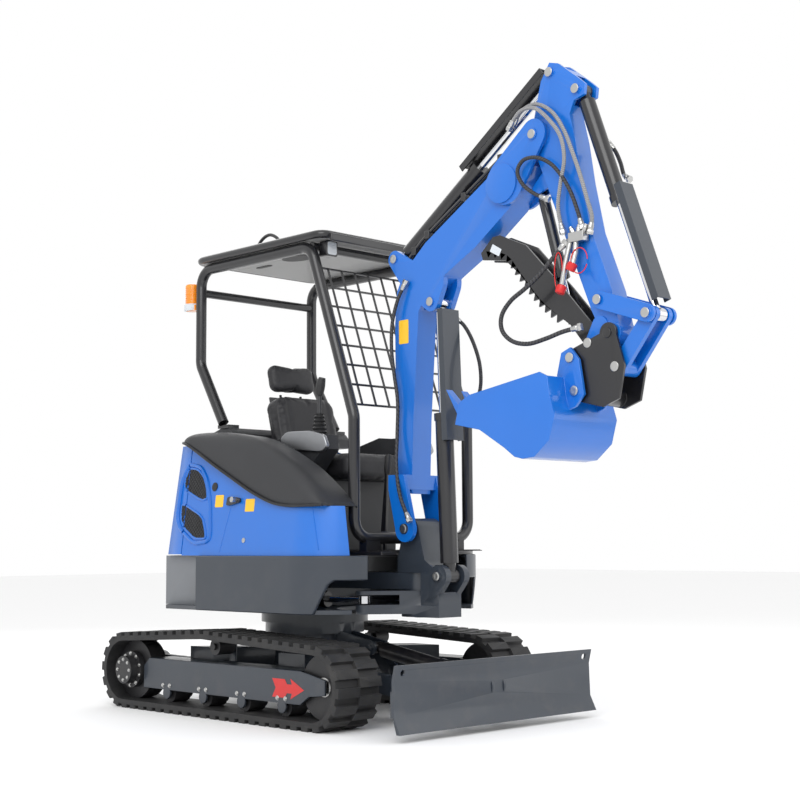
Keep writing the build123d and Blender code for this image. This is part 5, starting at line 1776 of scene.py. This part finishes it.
@dataclass
class Controls:
    """Levers with ribbed boots, armrest castings, pedals and the floor mat."""

    shop: Workshop
    seat_y: float = 0.114
    lever: tuple[float, float] = (0.25, 0.300)
    boot_z: float = 1.352
    boot_r: float = 0.040
    boot_h: float = 0.115
    guard_in: float = 0.350
    guard_out: float = 0.372
    pedal_places: tuple[float, ...] = (-0.06, 0.26)
    pedal_half: float = 0.045
    post_half: float = 0.008

    def levers(self) -> None:
        """Adds boots and grips: the boot's radius falls with a sine wave on it."""
        boots, grips = [], []
        t = np.linspace(0.0, 1.0, 49)
        for side in Side:
            y = self.seat_y + side.value * self.lever[1]
            radius = self.boot_r * (1 - 0.45 * t) + 0.004 * np.sin(t * math.tau * 6)
            boots.append(lathe((self.lever[0], y, self.boot_z), (0, 0, 1), zip(radius, t * self.boot_h), 28))
            line = smooth([
                (self.lever[0], y, 1.56), (self.lever[0] + 0.006, y, 1.60), (self.lever[0] + 0.02, y, 1.645)
            ], 8)
            swell = 0.017 + 0.006 * np.sin(np.linspace(0, math.pi, len(line)))
            grips.append(tube(line, swell, 20))
        self.shop.piece("lever_boots", joined(boots), "boot", Body.HOUSE, "cover_black")
        self.shop.piece("lever_grips", joined(grips), "boot", Body.HOUSE, "cover_black")

    def armrests(self) -> None:
        """Adds the cast guards beside both consoles."""
        outline = [
            (0.03, 1.352), (0.08, 1.385), (0.26, 1.380), (0.36, 1.355), (0.385, 1.300), (0.345, 1.270),
            (0.06, 1.300)
        ]
        castings = []
        for side in Side:
            near = self.seat_y + side.value * self.guard_in
            far = self.seat_y + side.value * self.guard_out
            castings.append(prism(rounded_ring(outline, 0.25), min(near, far), max(near, far), 1))
        self.shop.piece("armrest_castings", joined(castings), "casting", Body.HOUSE, "weight_silver", 0.004)

    def floor_mat(self) -> None:
        """Adds a ribbed rubber mat, two pedals and the travel levers' grips."""
        base = slab((-0.02, -0.20, 0.7885), (0.70, 0.50, 0.792))
        ribs = [slab((x, -0.19, 0.7915), (x + 0.010, 0.49, 0.795)) for x in np.arange(0.24, 0.69, 0.028)]
        self.shop.piece("floor_mat", joined([base, *ribs]), "boot", Body.HOUSE, "cover_black")
        pedals = []
        for y in self.pedal_places:
            plate = prism(
                [(0.50, 0.835), (0.60, 0.875), (0.597, 0.885), (0.497, 0.845)],
                y - self.pedal_half, y + self.pedal_half, 1,
            )
            post = prism(
                [(0.54, 0.79), (0.56, 0.79), (0.56, 0.862), (0.54, 0.855)],
                y - self.post_half, y + self.post_half, 1,
            )
            pedals.extend([plate, post])
        self.shop.piece("pedals", joined(pedals), "black", Body.HOUSE, "frame_grey", 0.002)
        grips = [
            lathe(
                (0.492, self.seat_y + side.value * 0.07, 1.165), (0.1, 0, 1),
                [(0.014, 0), (0.018, 0.02), (0.018, 0.09), (0.012, 0.1)], 20
            )
            for side in Side
        ]
        self.shop.piece("travel_grips", joined(grips), "boot", Body.HOUSE, "cover_black")

    def build(self) -> None:
        """Adds all of them."""
        self.levers()
        self.armrests()
        self.floor_mat()


@dataclass
class CanopyDetails:
    """Roof openings, handle, lamp glass and the beacon's base and cap."""

    shop: Workshop
    roof_top: float = 2.352
    roof_under: float = 2.318
    beacon: tuple[float, float] = (-0.690, -0.275)

    def roof(self) -> None:
        """Adds the headliner's oval and slot as black sheets of painted shade, the roof's pressed ribs and
        its bent handle.
        """
        turn = np.linspace(0, math.tau, 40, endpoint=False)
        oval = [(-0.089 + 0.105 * math.cos(a), -0.040 + 0.065 * math.sin(a)) for a in turn]
        pocket = rounded_ring([(-0.46, -0.03), (-0.34, -0.03), (-0.34, 0.00), (-0.46, 0.00)], 0.3)
        low = self.roof_under - 0.0025
        # The oval and slot are flat black sheets: painted shade standing in for the dark inside of the
        # openings.
        holes = joined([prism(oval, low, self.roof_under, 2), prism(pocket, low, self.roof_under, 2)])
        self.shop.piece("headliner_opening_shade", holes, "boot", Body.HOUSE, "roof_grey")
        top = self.roof_top
        ribs = [
            slab((x, -0.20, top - 0.001), (x + 0.03, 0.43, top + 0.007)) for x in np.arange(-0.50, 0.35, 0.14)
        ]
        self.shop.piece("roof_ribs", joined(ribs), "black", Body.HOUSE, "canopy_black", 0.003)
        rises = (
            (-0.36, -0.002), (-0.355, 0.045), (-0.31, 0.09), (-0.25, 0.105), (-0.19, 0.08), (-0.155, 0.035),
            (-0.15, -0.002),
        )
        arc = [(x, -0.1, top + rise) for x, rise in rises]
        self.shop.piece("roof_handle", tube(smooth(arc), 0.009, 12), "black", Body.HOUSE, "canopy_black")

    def skirt(self) -> None:
        """Adds the black edging round the roof with its raised front hood."""
        path = np.array(
            rounded_ring([(-0.61, -0.305), (0.40, -0.305), (0.40, 0.533), (-0.61, 0.533)], 0.07, 6)
        )
        line = np.stack([path[:, 0], path[:, 1], np.full(len(path), 2.336)], axis=1)
        self.shop.piece(
            "roof_edging", tube(np.vstack([line, line[:1]]), 0.020, 10), "black", Body.HOUSE, "canopy_black"
        )
        hood = [
            (0.30, 2.350), (0.40, 2.352), (0.435, 2.336), (0.440, 2.300), (0.425, 2.296), (0.415, 2.322),
            (0.30, 2.340)
        ]
        self.shop.piece("roof_hood", prism(hood, -0.27, 0.50, 1), "black", Body.HOUSE, "canopy_black", 0.004)

    def lamps(self) -> None:
        """Adds the work lamp's glass and rim, and the beacon's white base, cap and ribs."""
        rim = prism(
            rounded_ring([(-0.244, 2.238), (-0.170, 2.238), (-0.170, 2.318), (-0.244, 2.318)], 0.2), 0.360,
            0.368, 0
        )
        self.shop.piece("lamp_rim", rim, "black", Body.HOUSE, "canopy_black", 0.001)
        glass = prism(
            rounded_ring([(-0.236, 2.246), (-0.178, 2.246), (-0.178, 2.310), (-0.236, 2.310)], 0.2), 0.364,
            0.3705, 0
        )
        self.shop.piece("lamp_glass", glass, "glass", Body.HOUSE, "roof_grey", 0.001)
        x, y = self.beacon
        base = lathe(
            (x, y, 2.082), (0, 0, 1), [(0.044, 0.0), (0.046, 0.006), (0.046, 0.030), (0.040, 0.036)], 32
        )
        self.shop.piece("beacon_base", base, "white", Body.HOUSE, "roof_grey")
        ring = [lathe(
            (x, y, z), (0, 0, 1), [(0.0395, 0.0), (0.0405, 0.002), (0.0395, 0.004)], 32
        ) for z in np.arange(2.125, 2.205, 0.011)]
        cap = lathe(
            (x, y, 2.205), (0, 0, 1), [(0.0395, 0.0), (0.040, 0.010), (0.034, 0.019), (0.018, 0.023)], 32
        )
        self.shop.piece("beacon_ribs", joined([*ring, cap]), "amber", Body.HOUSE, "beacon_amber")

    def build(self) -> None:
        """Adds all of them."""
        self.roof()
        self.skirt()
        self.lamps()


# Marks and thumb teeth


@dataclass
class Marks:
    """Plain coloured marks with nothing written on them."""

    shop: Workshop
    nodes: dict[str, bpy.types.Object]
    clear: float = 1.0

    def arrow(self) -> None:
        """Adds the red arrow that shows which way is forward, on both track frames."""
        tail, notch, neck, tip, half, wing = 0.385, 0.410, 0.525, 0.610, 0.020, 0.042
        z = 0.172
        outline = [
            (tail, z + wing), (tail + 0.09, z + wing), (tail + 0.105, z + half), (neck, z + half),
            (neck - 0.01, z + wing + 0.004),
            (tip, z), (neck - 0.01, z - wing - 0.004), (neck, z - half), (tail + 0.105, z - half),
            (tail + 0.09, z - wing),
            (tail, z - wing), (notch, z),
        ]
        for side, name in ((Side.RIGHT, "right"), (Side.LEFT, "left")):
            skin = Skin([self.nodes[f"track_frame_{name}"]])
            ring = [(x, side.value * self.clear, height) for x, height in outline]
            if side is Side.LEFT:
                ring = ring[::-1]
            shell = skin.patch(ring, (0, -side.value, 0), 0.0004, 0.0008)
            self.shop.piece(f"arrow_{name}", shell, "red", Body.ROOT, "body_blue")

    def boom_plate(self) -> None:
        """Adds the blank yellow plate on the boom's right side and the light one on the thumb."""
        plans = (
            (
                "boom_sticker", Body.BOOM, "boom", "yellow",
                [(0.690, 1.780), (0.755, 1.780), (0.755, 1.895), (0.690, 1.895)],
            ),
            (
                "thumb_sticker", Body.THUMB, "thumb", "white",
                [(1.270, 2.150), (1.325, 2.120), (1.342, 2.150), (1.288, 2.182)],
            ),
        )
        for name, body, node, finish, corners in plans:
            skin = Skin([self.nodes[node]])
            ring = [(x, -self.clear, z) for x, z in rounded_ring(corners, 0.08, 4)]
            self.shop.piece(name, skin.patch(ring, (0, 1, 0), 0.0004, 0.0006), finish, body, "body_blue")

    def build(self) -> None:
        """Adds all marks."""
        self.arrow()
        self.boom_plate()


@dataclass
class ThumbTeeth:
    """Saw teeth welded along the lower edge of the thumb's two plates."""

    shop: Workshop
    inner: float = 0.034
    outer: float = 0.046
    pitch: float = 0.042
    depth: float = 0.020
    edge: tuple[tuple[float, float], ...] = (
        (1.222, 2.150), (1.364, 2.110), (1.452, 2.010), (1.566, 1.878), (1.700, 1.770),
    )

    def build(self) -> None:
        """Adds a row of triangles along the edge, one for each pitch of its length."""
        line = smooth([(x, 0.0, z) for x, z in self.edge], 16)
        run = np.concatenate([[0.0], np.cumsum(np.linalg.norm(np.diff(line, axis=0), axis=1))])
        marks = np.arange(self.pitch, run[-1], self.pitch)
        place = np.stack([np.interp(marks, run, line[:, k]) for k in range(3)], axis=1)
        ahead = np.stack([np.interp(marks + 0.005, run, line[:, k]) for k in range(3)], axis=1) - place
        ahead /= np.linalg.norm(ahead, axis=1, keepdims=True)
        out = np.stack([ahead[:, 2], np.zeros(len(marks)), -ahead[:, 0]], axis=1)
        out *= np.where(out[:, 2:3] > 0, -1.0, 1.0)
        teeth = []
        for spot, along, down in zip(place, ahead, out):
            a = spot - along * self.pitch * 0.48 - down * 0.012
            b = spot + along * self.pitch * 0.48 - down * 0.012
            c = spot + down * self.depth
            for low, high in ((-self.outer, -self.inner), (self.inner, self.outer)):
                teeth.append(prism([(p[0], p[2]) for p in (a, b, c)], low, high, 1))
        self.shop.piece("thumb_teeth", joined(teeth), "black", Body.THUMB, "cover_black", 0.001)


# Order of work


@dataclass
class Excavator:
    """The whole machine, dressed in order."""

    shop: Workshop
    nodes: dict[str, bpy.types.Object]

    def guards(self) -> None:
        """Adds the guard plates of the boom, arm and bucket cylinders."""
        plans = (
            (
                "boom_rod_guard", "boom_rod", BOOM_CYLINDER_FOOT, BOOM_CYLINDER_EYE,
                0.04, 0.66, -0.062, 0.05, "slate",
            ),
            (
                "arm_rod_guard", "arm_rod", ARM_CYLINDER_FOOT, ARM_CYLINDER_EYE,
                0.03, 0.64, 0.058, 0.046, "black",
            ),
            (
                "bucket_rod_guard", "bucket_rod", BUCKET_CYLINDER_FOOT, GUIDE_PIN,
                0.05, 0.60, 0.050, 0.040, "slate",
            ),
        )
        for plan in plans:
            RodGuard(self.shop, *plan).build()

    def build(self) -> None:
        """Dresses the nodes, then adds the pieces of each sub-assembly."""
        self.shop.wardrobe.dress_nodes(self.nodes)
        RoundedPanels(self.shop, self.nodes).build()
        SeatPads(self.shop, self.nodes).build()
        self.guards()
        DomeCover(self.shop).build()
        CoverDetails(self.shop, self.nodes).build()
        HoseSet(self.shop).build()
        Fasteners(self.shop, self.nodes).build()
        Controls(self.shop).build()
        CanopyDetails(self.shop).build()
        Marks(self.shop, self.nodes).build()
        ThumbTeeth(self.shop).build()


def main() -> None:
    """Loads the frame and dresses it."""
    logging.basicConfig(level=logging.INFO, format="%(message)s")
    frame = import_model()
    PhotoCamera().build()
    Studio().build()
    shop = Workshop(Wardrobe())
    Excavator(shop, frame["nodes"]).build()


if __name__ == "__main__":
    main()
